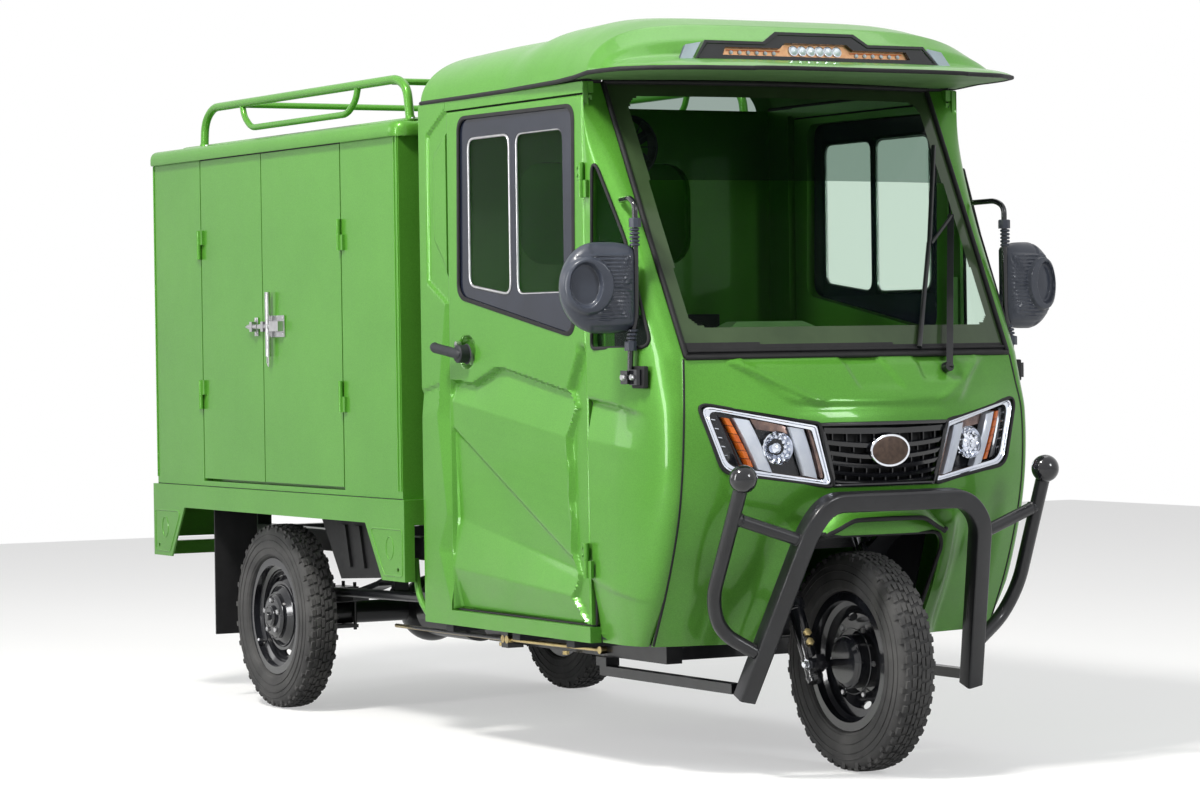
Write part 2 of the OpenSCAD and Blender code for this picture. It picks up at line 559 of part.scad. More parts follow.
function neck_point(k) = let (s = neck_s0 + (neck_s1 - neck_s0) * k)
    [wheelbase - axle_lead * cos(rake) - s * sin(rake) - 18, 16,
        tyre_r - axle_lead * sin(rake) + s * cos(rake)];

// Front guard: a square hoop, outer round tubes that end in balls, and cross tubes.
ball_x = wheelbase + 172;
guard_leg_knee = [wheelbase + 164, rail_y - 60, 596];
guard_top = [wheelbase + 168, rail_y - 130, 650];
guard_out = [[wheelbase + 44, rail_y + 18, 302], [wheelbase + 22, rail_y + 100, 352],
    [wheelbase + 44, rail_y + 134, 430], [ball_x, rail_y + 124, 712]];
module front_guard() color(black) {
    mirror_copy() {
        bar(guard_leg_foot, guard_leg_knee + 9 * unit(guard_leg_knee - guard_leg_foot), guard_s, guard_s);
        bar(guard_leg_knee, [guard_top[0], guard_top[1] + 30, 640], guard_s - 1, guard_s - 1);
        bar([guard_top[0], guard_top[1] + 44, 628], guard_top, guard_s - 2, guard_s - 2);
        for (i = [0:2])
            rod(guard_out[i], guard_out[i + 1] + (i < 2 ? 6 : 0) * unit(guard_out[i + 1] - guard_out[i]),
                guard_tube_r);
        translate(guard_out[3]) sphere(r = ball_r, $fn = 32);
        rod([wheelbase + 154, rail_y + 112, 622], [wheelbase + 152, rail_y - 56, 560], guard_tube_r - 2);
    }
    box([guard_top[0] - guard_s / 2, guard_top[0] + guard_s / 2], [-guard_top[1], guard_top[1]],
        [guard_top[2] - guard_s / 2, guard_top[2] + guard_s / 2]);
}

// Roof and visor. Columns: X from the front axle, half width past the cab's, and the heights of the edge
// and the crown over the cab's walls.
function roof_table() = [for (r = [
    [-1238, -40, 2, 122], [-1215, -2, 0, 142], [-960, 0, 0, 150], [-740, 1, 1, 152],
    [-640, 5, 2, 168], [-460, 10, 4, 172], [-360, 16, 8, 162], [-280, 24, 14, 140],
    [-220, 22, 14, 98], [-185, 18, 14, 58], [-150, 12, 14, 48], [-70, -24, 12, 40],
    [0, -110, 10, 29], [45, -240, 8, 16]]) [wheelbase + r[0], cab_hw + r[1], cab_z1 + r[2], cab_z1 + r[3]]];
roof_cols = [1, 0.97, 0.9, 0.8, 0.66, 0.45, 0.2];
function roof_shares() = concat([for (s = roof_cols) -s], [0], [for (i = [len(roof_cols) - 1:-1:0])
    roof_cols[i]]);
function roof_z(r, s) = r[2] + 6 + (r[3] - r[2] - 6) * pow(max(0, 1 - pow(abs(s), 5)), 0.55);
roof_t = 16;
visor_x = wheelbase - 370;
module roof() color(green) grid_solid(
    [for (s = roof_shares()) [for (r = roof_table()) [r[0], s * r[1], roof_z(r, s)]]],
    [for (s = roof_shares()) [for (r = roof_table())
        [r[0], s * r[1], r[0] < visor_x ? max(r[2], roof_z(r, s) - roof_t) : r[2]]]]);

// Light bar on the roof's front slope, its outline in Y and Z.
bar_x = wheelbase - 158;
bar_tilt = 15;
bar_hw_top = cab_hw - 190;
function mirrored(pts) = concat(pts, [for (i = [len(pts) - 1:-1:0]) [-pts[i][0], pts[i][1]]]);
bar_outline = mirrored([[bar_hw_top, 0], [bar_hw_top - 38, 52], [150, 52], [112, 78]]);
bar_window = mirrored([[bar_hw_top - 82, 16], [bar_hw_top - 92, 36], [105, 36], [88, 50]]);
module bar_place() translate([bar_x + 8, 0, cab_z1 + 40]) rotate([0, -bar_tilt, 0]) children();
module light_bar() color(black) difference() {
    bar_place() along_x(-84, 6) polygon(bar_outline);
    bar_place() along_x(-8, 10) polygon(bar_window);
    translate([0, 0, fit]) roof_core();
}
module light_bar_lens() bar_place() along_x(-7.5, 2) polygon([for (p = bar_window) [p[0] * 0.995,
    33 + (p[1] - 33) * 0.97]]);
// The space under the roof's top, down to its edge.
module roof_core() grid_solid(
    [for (s = roof_shares()) [for (r = roof_table()) [r[0], s * r[1], roof_z(r, s)]]],
    [for (s = roof_shares()) [for (r = roof_table()) [r[0], s * r[1], cab_z1 - 150]]]);

// Mirrors: a base, a bent arm that reaches back to the front pillar, and the head.
arm_x = wheelbase - 127;
arm_y = cab_hw - 13;
module mirrors() color(black) mirror_copy() translate([0, -arm_y, 0]) {
    box([arm_x - 20, arm_x + 26], [-26, -7.7], [926, 966]);
    rod([arm_x, -19, 946], [arm_x, 0, 1271], 7, 20);
    rod([arm_x, 0, 1268], [arm_x, 0, 1342], 7, 20);
    rod([arm_x, 0, 1338], [arm_x - 22, 2, 1362], 7, 20);
    rod([arm_x - 18, 2, 1361], [arm_x - 103, 21, 1364], 7, 20);
    for (z = [1044, 1266]) translate([arm_x, z < 1200 ? -12 : 0, z - 14]) cylinder(h = 28, r = 12, $fn = 24);
    translate([arm_x, -6, 1156]) rotate([0, 0, -14]) mirror_head();
}
// The head in its own frame, flat towards the vehicle and rounded outwards, hollowed behind for the glass.
module mirror_head() difference() {
    hull() {
        along_x(-22, -6) polygon(mirror_outline(1));
        along_x(-6, 22) polygon(mirror_outline(0.82));
    }
    along_x(-30, -16) polygon(mirror_outline(0.93));
}
function mirror_outline(k) = [for (p = concat([[6, 104]], [for (a = [100:20:260]) [-78 + 96 * cos(a),
    108 * sin(a)]], [[6, -104]]))
    [-84 + (p[0] + 84) * k, p[1] * k]];

// A point over the front face at a given y and z, by out.
function on_front(y, z, out) = front_point(z, y / cab_col(z, 3), -out);
module wiper() color(black) {
    pivot_y = 0.409 * cab_hw;
    elbow_y = 0.733 * cab_hw;
    blade_y = [0.296, 0.551, 0.781] * cab_hw;
    rod(on_front(pivot_y, 957, fit + 5.8), on_front(pivot_y, 960, 26), 12, 20);
    bar(on_front(pivot_y, 958, 24), on_front(elbow_y, 1330, 16), 16, 8);
    rod(on_front(elbow_y, 1328, 18), on_front(blade_y[1] + 3, 1258, 12), 5, 12);
    rod(on_front(blade_y[0], 1006, 9), on_front(blade_y[1], 1260, 9), 6, 12);
    rod(on_front(blade_y[1], 1257, 9), on_front(blade_y[2], 1506, 9), 6, 12);
}

// Seat bench: pan, cushion and backrest. The battery pack stands under it.
seat_x0 = cab_rear + door_t + 25;
seat_z = 610;
battery_h = 230;
seat_hw = cab_hw - 210;
module seat() color(black) {
    floor_top = cab_floor_z + floor_plate;
    box([seat_x0, seat_x0 + 380], [50 - seat_hw, seat_hw - 50], [floor_top, floor_top + battery_h]);
    box([seat_x0, seat_x0 + 400], [-seat_hw, seat_hw], [floor_top + battery_h, seat_z]);
    translate([seat_x0 + 20, -seat_hw, seat_z]) cube([390, 2 * seat_hw, 80]);
    along_y(-seat_hw, seat_hw) polygon([[seat_x0, seat_z], [seat_x0 + 20, seat_z], [seat_x0 + 110,
        seat_z + 80],
        [seat_x0 + 86, seat_z + 500], [seat_x0, seat_z + 500]]);
}
dash_hw = cab_hw - 100;
dash_top = 955;
module dashboard() color(black) difference() {
    front = front_point(dash_top, dash_hw / cab_col(dash_top, 3), fascia_t + 2.6)[0];
    along_y(-dash_hw, dash_hw) polygon([[wheelbase - 250, dash_top - 55], [front, dash_top - 30],
        [front, dash_top],
        [wheelbase - 200, dash_top - 5], [wheelbase - 250, dash_top - 30]]);
    steer_frame() cylinder(h = 1200, r = 60, $fn = 32);
}
fan_r = 76;
fan_c = [wheelbase - 410, 155 - cab_hw, 1500];
// The fan's rod leans back to where the roof is flat underneath.
fan_rod_dx = -90;
function roof_under(x, y) = let (r = [x, lookup(x, [for (q = roof_table()) [q[0], q[1]]]),
    lookup(x, [for (q = roof_table()) [q[0], q[2]]]), lookup(x, [for (q = roof_table()) [q[0], q[3]]])])
    roof_z(r, y / r[1]) - roof_t;
module cab_fan() color(black) difference() {
    translate(fan_c) fan_body();
    translate([0, 0, -fit]) roof();
}
module fan_body() {
    top = roof_under(fan_c[0] + fan_rod_dx, fan_c[1]) - fan_c[2] - roof_foot_t - fit;
    rod([0, 0, fan_r - 6], [fan_rod_dx, 0, top + 3], 7, 16);
    translate([fan_rod_dx, 0, top]) cylinder(h = roof_foot_t, r = 20, $fn = 24);
    rotate([0, 90, 0]) translate([0, 0, -20]) {
        difference() {
            cylinder(h = 40, r = fan_r, $fn = 40);
            translate([0, 0, -1]) cylinder(h = 42, r = fan_r - 5, $fn = 40);
        }
        translate([0, 0, -26]) cylinder(h = 62, r = 26, $fn = 32);
        for (a = [0:30:150]) rotate([0, 0, a]) translate([4 - fan_r, -1.5, 34]) cube([2 * fan_r - 8, 3, 3]);
        for (a = [0:60:300]) rotate([0, 0, a]) translate([20, -16, 10]) rotate([22, 0, 0])
            cube([fan_r - 32, 30, 2]);
    }
}
roof_foot_t = 5;

// Base frame of the box: beams, cross members, corner legs and the rear underrun beam.
base_z1 = floor_z - 16;
base_z0 = base_z1 - beam_h;
base_hw = box_hw + 12;
base_x0 = -box_rear - 10;
base_x1 = box_front + 28;
leg_z = 410;
leg_hole_r = 6;
module leg_plate(x_out, dir) along_y(-base_hw, -base_hw + 5) difference() {
    polygon([[x_out, base_z0], [x_out, leg_z], [x_out + dir * 135, leg_z], [x_out + dir * 235, base_z0]]);
    translate([x_out + dir * 40, leg_z + 30]) circle(r = leg_hole_r, $fn = 20);
}
plate_hole_y = 90;
module cargo_base() color(green) {
    mirror_copy() {
        box([base_x0, base_x1], [-base_hw, -base_hw + 40], [base_z0, base_z1]);
        leg_plate(base_x0, 1);
        leg_plate(base_x1, -1);
        box([base_x0, base_x0 + 4], [318, 512], [base_z0 - 96, base_z0 + 1]);
        box([base_x0, base_x0 + 30], [-base_hw, -base_hw + 30], [leg_z, base_z0]);
        box([base_x1 - 30, base_x1], [-base_hw, -base_hw + 30], [leg_z, base_z0]);
    }
    for (x = [base_x0, base_x1 - 40]) box([x, x + 40], [-base_hw + 40, base_hw - 40], [base_z0, base_z1]);
    for (x = [145 - box_rear, -180, 200, box_front - 455, box_front - 155]) box([x, x + 40], [-base_hw + 40,
        base_hw - 40], [base_z0, base_z1]);
    difference() {
        box([base_x0, base_x0 + 30], [-base_hw + 30, base_hw - 30], [leg_z, leg_z + 40]);
        for (y = [-plate_hole_y, plate_hole_y]) translate([base_x0 - 1, y, leg_z + 20]) rotate([0, 90, 0])
            cylinder(h = 32, r = 4, $fn = 20);
    }
}

// Floor, left wall and front wall of the box.
module cargo_walls() color(green) {
    box([-box_rear, box_front], [-box_hw, box_hw], [base_z1, floor_z]);
    box([-box_rear, box_front], [box_hw - wall_t, box_hw], [floor_z, box_top]);
    box([box_front - wall_t, box_front], [-box_hw, box_hw - wall_t], [floor_z, box_top]);
    // Pressed ribs on the left wall, where the seams of the right side are.
    for (x = [side_door_x0, side_seam_x, side_door_x1]) box([x - 4, x + 4], [box_hw, box_hw + 4],
        [floor_z + 12, box_top - 8]);
    for (z = side_hinge_z) rear_hinge(1, z, 0);
}
frame_w = 38;
corner_w = 50;
side_door_z0 = floor_z + 8;
side_door_z1 = box_top - 4;
// The right side's fixed panels and its jambs, sill and head round the side doors.
module cargo_right_wall() color(green) {
    y0 = -box_hw;
    box([-box_rear + corner_w, side_door_x0 - 3], [y0, y0 + wall_t], [floor_z, box_top]);
    box([side_door_x1 + 3, box_front - wall_t], [y0, y0 + wall_t], [floor_z, box_top]);
    box([side_door_x0 - 3, side_door_x1 + 3], [y0 + wall_t + 5, y0 + wall_t + 25],
        [floor_z, floor_z + frame_w]);
    box([side_door_x0 - 3, side_door_x1 + 3], [y0 + wall_t + 5, y0 + wall_t + 25], [box_top - frame_w,
        box_top]);
    for (x = [side_door_x0 - 3 - frame_w, side_door_x1 + 3]) box([x, x + frame_w],
        [y0 + wall_t, y0 + wall_t + 25], [floor_z, box_top]);
    rear_frame();
    for (z = side_hinge_z) {
        hinge_leaf([side_door_x0, y0 - hinge_out, z], -1, 0);
        hinge_leaf([side_door_x1, y0 - hinge_out, z], 1, 0);
    }
}
side_hinge_z = [892, 1328];
// Half of a hinge on the right side. dir is the side its leaf lies on, and half is 0 below or 1 above.
module hinge_leaf(p, dir, half) {
    z0 = p[2] - hinge_len / 2 + half * (hinge_len / 2 + fit / 2);
    h = hinge_len / 2 - fit / 2;
    translate([p[0], p[1], z0]) cylinder(h = h, r = hinge_r, $fn = 20);
    box([min(p[0], p[0] + dir * 24), max(p[0], p[0] + dir * 24)], [p[1], p[1] + hinge_out + 0.5],
        [z0, z0 + h]);
}
// Posts and rails round the rear doors, which close between the side walls.
module rear_frame() {
    x0 = -box_rear;
    mirror_copy() box([x0 + wall_t + 5, x0 + wall_t + 30], [-box_hw + wall_t, -box_hw + wall_t + 22],
        [floor_z, box_top]);
    box([x0 + wall_t + 5, x0 + wall_t + 30], [-box_hw + wall_t + 22, box_hw - wall_t - 22],
        [box_top - frame_w, box_top]);
    box([x0 + wall_t + 5, x0 + wall_t + 30], [-box_hw + wall_t + 22, box_hw - wall_t - 22],
        [floor_z, floor_z + frame_w]);
    box([x0, x0 + corner_w], [-box_hw, -box_hw + wall_t], [floor_z, box_top]);
    for (z = side_hinge_z) rear_hinge(-1, z, 0);
}
rear_hinge_y = box_hw - wall_t;
module rear_hinge(s, z, half) {
    z0 = z - hinge_len / 2 + half * (hinge_len / 2 + fit / 2);
    h = hinge_len / 2 - fit / 2;
    y = s * rear_hinge_y;
    d = half == 0 ? 1 : -1;
    translate([-box_rear - hinge_out, y, z0]) cylinder(h = h, r = hinge_r, $fn = 20);
    box([-box_rear - hinge_out, -box_rear + 0.5], [min(y, y + d * s * 20), max(y, y + d * s * 20)],
        [z0, z0 + h]);
}

// The lid: a rim with a turned edge and a shallow crowned top.
lid_over = 15;
module lid_plan(g) polygon(rounded([
    [-box_rear - 8 + g, -box_hw - lid_over + g, 24], [box_front + 18 - g, -box_hw - lid_over + g, 34],
    [box_front + 18 - g, box_hw + lid_over - g, 34], [-box_rear - 8 + g, box_hw + lid_over - g, 24]]));
module cargo_lid() color(green) difference() {
    union() {
        translate([0, 0, box_top]) linear_extrude(lid_h - 8) lid_plan(0);
        translate([0, 0, box_top + lid_h - 8]) linear_extrude(5) lid_plan(4);
        translate([0, 0, box_top + lid_h - 3]) linear_extrude(3) lid_plan(12);
        translate([0, 0, box_top + lid_h]) linear_extrude(12) lid_plan(82);
    }
    translate([0, 0, box_top - 1]) linear_extrude(lid_h - 20) lid_plan(lid_over + wall_t + 12);
}

// Roof rack: two side hoops, each with a lower rail, and two cross bars.
rack_y = box_hw - 45;
rack_r = 12;
rack_z0 = box_top + lid_h + fit;
rack_z1 = rack_z0 + 112.7;
rack_x = [285 - box_rear, 353 - box_rear, box_front - 85, box_front - 15];
low_x = [565 - box_rear, box_front - 330];
low_z = rack_z0 + 38.7;
rack_foot_t = 4;
module rack_path(pts, r) {
    for (i = [0:len(pts) - 2])
        rod(pts[i], pts[i + 1] + unit(pts[i + 1] - pts[i]) * (i == len(pts) - 2 ? 0 : r * 0.3), r, 20);
}
module roof_rack() color(green) {
    mirror_copy() {
        rack_path([[rack_x[0], rack_y, rack_z0 + rack_foot_t - 0.5], [rack_x[0] + 12, rack_y, rack_z1 - 30],
            [rack_x[1], rack_y, rack_z1], [rack_x[2], rack_y, rack_z1], [rack_x[3] - 16, rack_y,
                rack_z1 - 26],
            [rack_x[3], rack_y, rack_z0 + rack_foot_t - 0.5]], rack_r);
        for (x = [rack_x[0], rack_x[3]]) translate([x, rack_y, rack_z0]) cylinder(h = rack_foot_t, r = 20,
            $fn = 24);
        rack_path([[low_x[0], rack_y, rack_z1], [low_x[0] + 12, rack_y, rack_z1 - 40], [low_x[0] + 60,
            rack_y, low_z],
            [low_x[1] - 65, rack_y, low_z], [low_x[1] - 10, rack_y, rack_z1 - 40], [low_x[1], rack_y,
                rack_z1]], rack_r - 3);
    }
    for (x = [low_x[0] - 8, box_front - 125])
        rod([x, -rack_y + 3, rack_z1 - 4], [x, rack_y - 3, rack_z1 - 4], rack_r - 3, 20);
}

module tail_lamps() color("firebrick") mirror_copy()
    box([base_x0 - tail_lamp_t, base_x0 - fit], [330, 500], [base_z0 - 84, base_z0 - 24]);

// Box doors. The part of each latch's bolt that lies in the keeper rides on the keeper's own leaf.
bolt_z = 1086;
bolt_out = 22;
seam_gap = 5;
module side_door_rear() color(green) {
    y0 = -box_hw;
    box([side_door_x0 + 3, side_seam_x - seam_gap / 2], [y0, y0 + wall_t], [side_door_z0, side_door_z1]);
    for (z = side_hinge_z) hinge_leaf([side_door_x0, y0 - hinge_out, z], 1, 1);
    color(steel) {
        box([side_seam_x - 50, side_seam_x - 26], [y0 - 4, y0], [bolt_z - 26, bolt_z + 26]);
        rod([side_seam_x - 66, y0 - bolt_out + 8, bolt_z], [side_seam_x - seam_gap / 2, y0 - bolt_out + 8,
            bolt_z], 7, 20);
        translate([side_seam_x - 66, y0 - bolt_out + 8, bolt_z]) rotate([0, -90, 0]) cylinder(h = 24,
            r1 = 7, r2 = 1.5, $fn = 20);
        box([side_seam_x - 46, side_seam_x - 30], [y0 - bolt_out, y0 - 3], [bolt_z - 14, bolt_z + 14]);
    }
}
module latch(x0, dir, y0) color(steel) {
    xs = [x0 + dir * 20, x0 + dir * 150];
    box([min(xs), max(xs)], [y0 - 4, y0], [bolt_z - 30, bolt_z + 30]);
    rod([x0, y0 - bolt_out + 8, bolt_z], [x0 + dir * 140, y0 - bolt_out + 8, bolt_z], 7, 20);
    box([min(x0 + dir * 86, x0 + dir * 146), max(x0 + dir * 86, x0 + dir * 146)], [y0 - bolt_out, y0 - 3],
        [bolt_z - 14, bolt_z + 14]);
    box([min(x0 + dir * 28, x0 + dir * 44), max(x0 + dir * 28, x0 + dir * 44)], [y0 - bolt_out, y0 - 3],
        [bolt_z - 14, bolt_z + 14]);
    // The upright handle.
    rod([x0 + dir * 62, y0 - bolt_out + 8, bolt_z - 84], [x0 + dir * 66, y0 - bolt_out + 6, bolt_z + 96], 8,
        20);
}
module side_door_front() color(green) {
    y0 = -box_hw;
    box([side_seam_x + seam_gap / 2, side_door_x1 - 3], [y0, y0 + wall_t], [side_door_z0, side_door_z1]);
    for (z = side_hinge_z) hinge_leaf([side_door_x1, y0 - hinge_out, z], -1, 1);
    latch(side_seam_x + seam_gap / 2, 1, y0);
}
module rear_door(s) {
    y_in = seam_gap / 2;
    y_out = rear_hinge_y - 3;
    box([-box_rear, -box_rear + wall_t], [min(s * y_in, s * y_out), max(s * y_in, s * y_out)],
        [side_door_z0, side_door_z1]);
    for (z = side_hinge_z) rear_hinge(s, z, 1);
}
module turn_to_rear() translate([-box_rear, 0, 0]) rotate([0, 0, -90]) children();
module rear_door_right() color(green) {
    rear_door(-1);
    color(steel) turn_to_rear() {
        box([seam_gap / 2 + 24, seam_gap / 2 + 48], [-4, 0], [bolt_z - 26, bolt_z + 26]);
        rod([seam_gap / 2, -bolt_out + 8, bolt_z], [seam_gap / 2 + 66, -bolt_out + 8, bolt_z], 7, 20);
        box([seam_gap / 2 + 28, seam_gap / 2 + 44], [-bolt_out, -3], [bolt_z - 14, bolt_z + 14]);
    }
}
module rear_door_left() color(green) {
    rear_door(1);
    color(steel) turn_to_rear() latch(-seam_gap / 2, -1, 0);
}

// Cab doors: a panel with its window cut, the pressed relief and the moving hinge halves.
win = [[door_x0 + 60, 1147, 45], [door_x1 - 56, 1040, 45], [door_x1 - 46, 1600, 40], [door_x0 + 72, 1604,
    40]];
module door_panel() {
    difference() {
        along_y(-cab_hw, -cab_hw + door_t) difference() {
            translate([door_x0 + door_gap, door_z0 + door_gap])
                square([door_x1 - door_x0 - 2 * door_gap, door_z1 - door_z0 - 2 * door_gap]);
            polygon(rounded(win));
        }
        door_relief();
    }
    for (z = hinge_heights) {
        translate([door_x1, -cab_hw - hinge_out, z + fit / 2]) cylinder(h = hinge_len / 2 - fit / 2,
            r = hinge_r, $fn = 20);
        box([door_x1 - 26, door_x1], [-cab_hw - hinge_out, -cab_hw + 0.5], [z + fit / 2, z + hinge_len / 2]);
    }
}
// The pressed field under the window, cut as one faceted cutter. Rows run up the door, columns forwards,
// and each entry is the depth of the pressing there.
relief_x = [42, 90, 330, 560, 655, 690];
relief_table = [[365, [0, 0, 0, 0, 0, 0]], [372, [0, 4, 4, 4, 0, 0]], [505, [0, 3, 3, 2, 2, 0]],
    [600, [0, 14, 10, 4, 2, 0]],
    [760, [0, 16, 16, 10, 4, 0]], [800, [0, 6, 14, 14, 5, 0]], [870, [0, 12, 8, 12, 4, 0]],
        [905, [0, 12, 10, 2, 2, 0]], [950, [0, 0, 4, 0, 0, 0]]];
module door_relief() {
    out = 6;
    grid_solid(
        [for (r = relief_table) [for (j = [0:len(relief_x) - 1]) [door_x0 + relief_x[j], -cab_hw - out,
            r[0]]]],
        [for (r = relief_table) [for (j = [0:len(relief_x) - 1]) [door_x0 + relief_x[j],
            -cab_hw + (r[1][j] > 0 ? r[1][j] : -1), r[0]]]]);
}
module door_window() color(glass) along_y(-cab_hw + 3, -cab_hw + 3 + glass_t)
    polygon(rounded(inset(win, fit)));
handle_z = 1000;
// A round escutcheon and a lever that leans back and outwards, with a flat side towards the door.
module door_handle() color(black) {
    pivot_x = door_x0 + 104;
    rod([pivot_x, -cab_hw - 30, handle_z + 4], [pivot_x, -cab_hw - fit, handle_z + 4], 22, 28);
    lever(pivot_x);
}
module lever(pivot_x) translate([0, 0, handle_z - 10]) linear_extrude(24) polygon([
    [pivot_x + 14, -cab_hw - 12], [pivot_x + 14, -cab_hw - 30], [pivot_x + 4, -cab_hw - 38], [door_x0 + 14,
        -cab_hw - 52],
    [door_x0 + 2, -cab_hw - 48], [door_x0 - 2, -cab_hw - 38], [door_x0 + 6, -cab_hw - 32], [pivot_x - 24,
        -cab_hw - 20]]);
module door_panel_right() color(green) door_panel();
module door_panel_left() color(green) mirror([0, 1, 0]) door_panel();
module door_window_right() door_window();
module door_window_left() mirror([0, 1, 0]) door_window();
module door_handle_right() door_handle();
module door_handle_left() mirror([0, 1, 0]) door_handle();

// Rear mudguards: a plate over each tyre, a ribbed front skirt and a hanging flap.
guard_y0 = track / 2 - 65;
guard_y1 = track / 2 + 69;
module rear_mudguards() color(black) mirror_copy() {
    top = base_z0 - fit;
    box([-345, 300], [guard_y0, guard_y1 - 20], [top - 6, top]);
    box([-350, -344], [guard_y0, guard_y1], [190, top - 2]);
    skirt_y = guard_y0 + 50;
    along_y(skirt_y, skirt_y + 6) polygon([[220, top], [580, top], [640, 400], [350, 384]]);
    for (x = [360, 450]) along_y(skirt_y + 6 - fit, skirt_y + 14) polygon([[x, 535], [x + 34, 535],
        [x + 66, 420], [x + 34, 420]]);
    along_y(guard_y0, skirt_y) polygon([[220, top], [226, top], [356, 388], [350, 384]]);
}

place() chassis_frame();
place() cab_floor();
place() cab_sides();
place() quarter_panels();
place() cab_rear_wall();
place() fixed_windows();
place() front_fascia();
place() headlamps();
place() lamp_lenses();
place() grille();
place() roof();
place() light_bar();
place() windshield();
place() windshield_seal();
place() mirrors();
place() wiper();
place() seat();
place() dashboard();
place() front_guard();
place() cab_fan();
place() front_fork();
place() handlebar();
place() front_rim();
place() at_front() tyre();  // front_tyre
place() rear_axle();
place() leaf_springs();
place() rear_rim_right();
place() at_rear(-1) tyre();  // rear_tyre_right
place() rear_rim_left();
place() at_rear(1) tyre();  // rear_tyre_left
place() rear_mudguards();
place() cargo_base();
place() cargo_walls();
place() cargo_right_wall();
place() cargo_lid();
place() roof_rack();
place() tail_lamps();
place() side_door_rear();
place() side_door_front();
place() rear_door_right();
place() rear_door_left();
place() door_panel_right();
place() door_panel_left();
place() door_window_right();
place() door_window_left();
place() door_handle_right();
place() door_handle_left();
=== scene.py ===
import math

import bmesh
import bpy
import numpy as np
from mathutils import Matrix, Vector


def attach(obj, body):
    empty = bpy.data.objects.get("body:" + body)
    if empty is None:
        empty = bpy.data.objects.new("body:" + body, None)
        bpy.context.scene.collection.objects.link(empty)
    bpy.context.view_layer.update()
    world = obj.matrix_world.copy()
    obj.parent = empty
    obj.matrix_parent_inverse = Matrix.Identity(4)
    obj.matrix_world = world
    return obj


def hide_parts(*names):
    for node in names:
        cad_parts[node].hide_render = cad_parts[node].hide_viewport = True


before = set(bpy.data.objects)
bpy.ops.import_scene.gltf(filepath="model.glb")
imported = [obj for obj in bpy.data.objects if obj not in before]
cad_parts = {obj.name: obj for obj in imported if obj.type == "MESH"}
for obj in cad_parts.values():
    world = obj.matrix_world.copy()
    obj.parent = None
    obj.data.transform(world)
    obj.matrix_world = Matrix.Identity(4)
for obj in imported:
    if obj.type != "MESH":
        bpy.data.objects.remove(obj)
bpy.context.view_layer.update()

# Lengths below are millimetres from the rear axle on the floor, +X forwards and +Y to the left.
ORIGIN_X = 892.5
WHEELBASE = 2260.0
TRACK = 930.0
TYRE_R = 262.0
RIM_R = 165.0
RAKE = math.radians(27)


def turns(n):
    """Angles of n even steps round a full turn."""
    return [2 * math.pi * k / n for k in range(n)]


def scene_point(p):
    return Vector(((p[0] - ORIGIN_X) / 1000, p[1] / 1000, p[2] / 1000))


# Materials.

def new_material(name):
    m = bpy.data.materials.new(name)
    m.use_nodes = True
    tree = m.node_tree
    bsdf = tree.nodes["Principled BSDF"]
    return m, tree, bsdf


def give(tree, n, inputs):
    """Sets a node's inputs, by name or number, to values or to the outputs of other nodes."""
    for key, value in inputs.items():
        if isinstance(value, bpy.types.NodeSocket):
            tree.links.new(value, n.inputs[key])
        else:
            n.inputs[key].default_value = value
    return n


def node(tree, kind, inputs=None, **options):
    n = tree.nodes.new(kind)
    for key, value in options.items():
        setattr(n, key, value)
    return give(tree, n, inputs or {})


def calc(tree, operation, *terms):
    return node(tree, "ShaderNodeMath", dict(enumerate(terms)), operation=operation).outputs["Value"]


# Numbered sockets of a mix node between two colours.
MIX_A = 6
MIX_B = 7
MIX_OUT = 2


def blend_colours(tree, share, a, b):
    inputs = {"Factor": share, MIX_A: a, MIX_B: b}
    return node(tree, "ShaderNodeMix", inputs, data_type="RGBA").outputs[MIX_OUT]


def show_blend(tree, output, share, a, b):
    """Leads a blend of two shaders, with a share of the second, to the tree's output."""
    mix = node(tree, "ShaderNodeMixShader", {"Fac": share, 1: a, 2: b})
    give(tree, tree.nodes[output], {"Surface": mix.outputs["Shader"]})


def object_coords(tree):
    return node(tree, "ShaderNodeTexCoord").outputs["Object"]


def noise(tree, scale, detail=4.0, roughness=0.55):
    inputs = {"Vector": object_coords(tree), "Scale": scale, "Detail": detail, "Roughness": roughness}
    return node(tree, "ShaderNodeTexNoise", inputs).outputs["Fac"]


def ramp(tree, source, stops):
    n = node(tree, "ShaderNodeValToRGB", {"Fac": source})
    elements = n.color_ramp.elements
    while len(elements) < len(stops):
        elements.new(0.5)
    for element, (place, colour) in zip(elements, stops):
        element.position = place
        element.color = (*colour, 1)
    return n.outputs["Color"]


def spread(tree, source, low, high):
    inputs = {"Value": source, "To Min": low, "To Max": high}
    return node(tree, "ShaderNodeMapRange", inputs).outputs["Result"]


def bump(tree, bsdf, source, strength, distance):
    n = node(tree, "ShaderNodeBump", {"Strength": strength, "Distance": distance, "Height": source})
    give(tree, bsdf, {"Normal": n.outputs["Normal"]})


def surface(name, colour, dark=None, metallic=0.0, rough=(0.4, 0.5), scale=14.0, grain=None, coat=0.0):
    """A material with colour and roughness that vary by noise, and a bump of (scale, strength, distance)."""
    m, tree, bsdf = new_material(name)
    dark = dark or tuple(c * 0.8 for c in colour)
    give(tree, bsdf, {
        "Base Color": ramp(tree, noise(tree, scale), [(0.3, dark), (0.7, colour)]),
        "Roughness": spread(tree, noise(tree, scale * 2.3), *rough),
        "Metallic": metallic, "Coat Weight": coat, "Coat Roughness": 0.06, "Specular IOR Level": 0.28})
    if grain:
        bump(tree, bsdf, noise(tree, grain[0], 6.0), grain[1], grain[2])
    return m


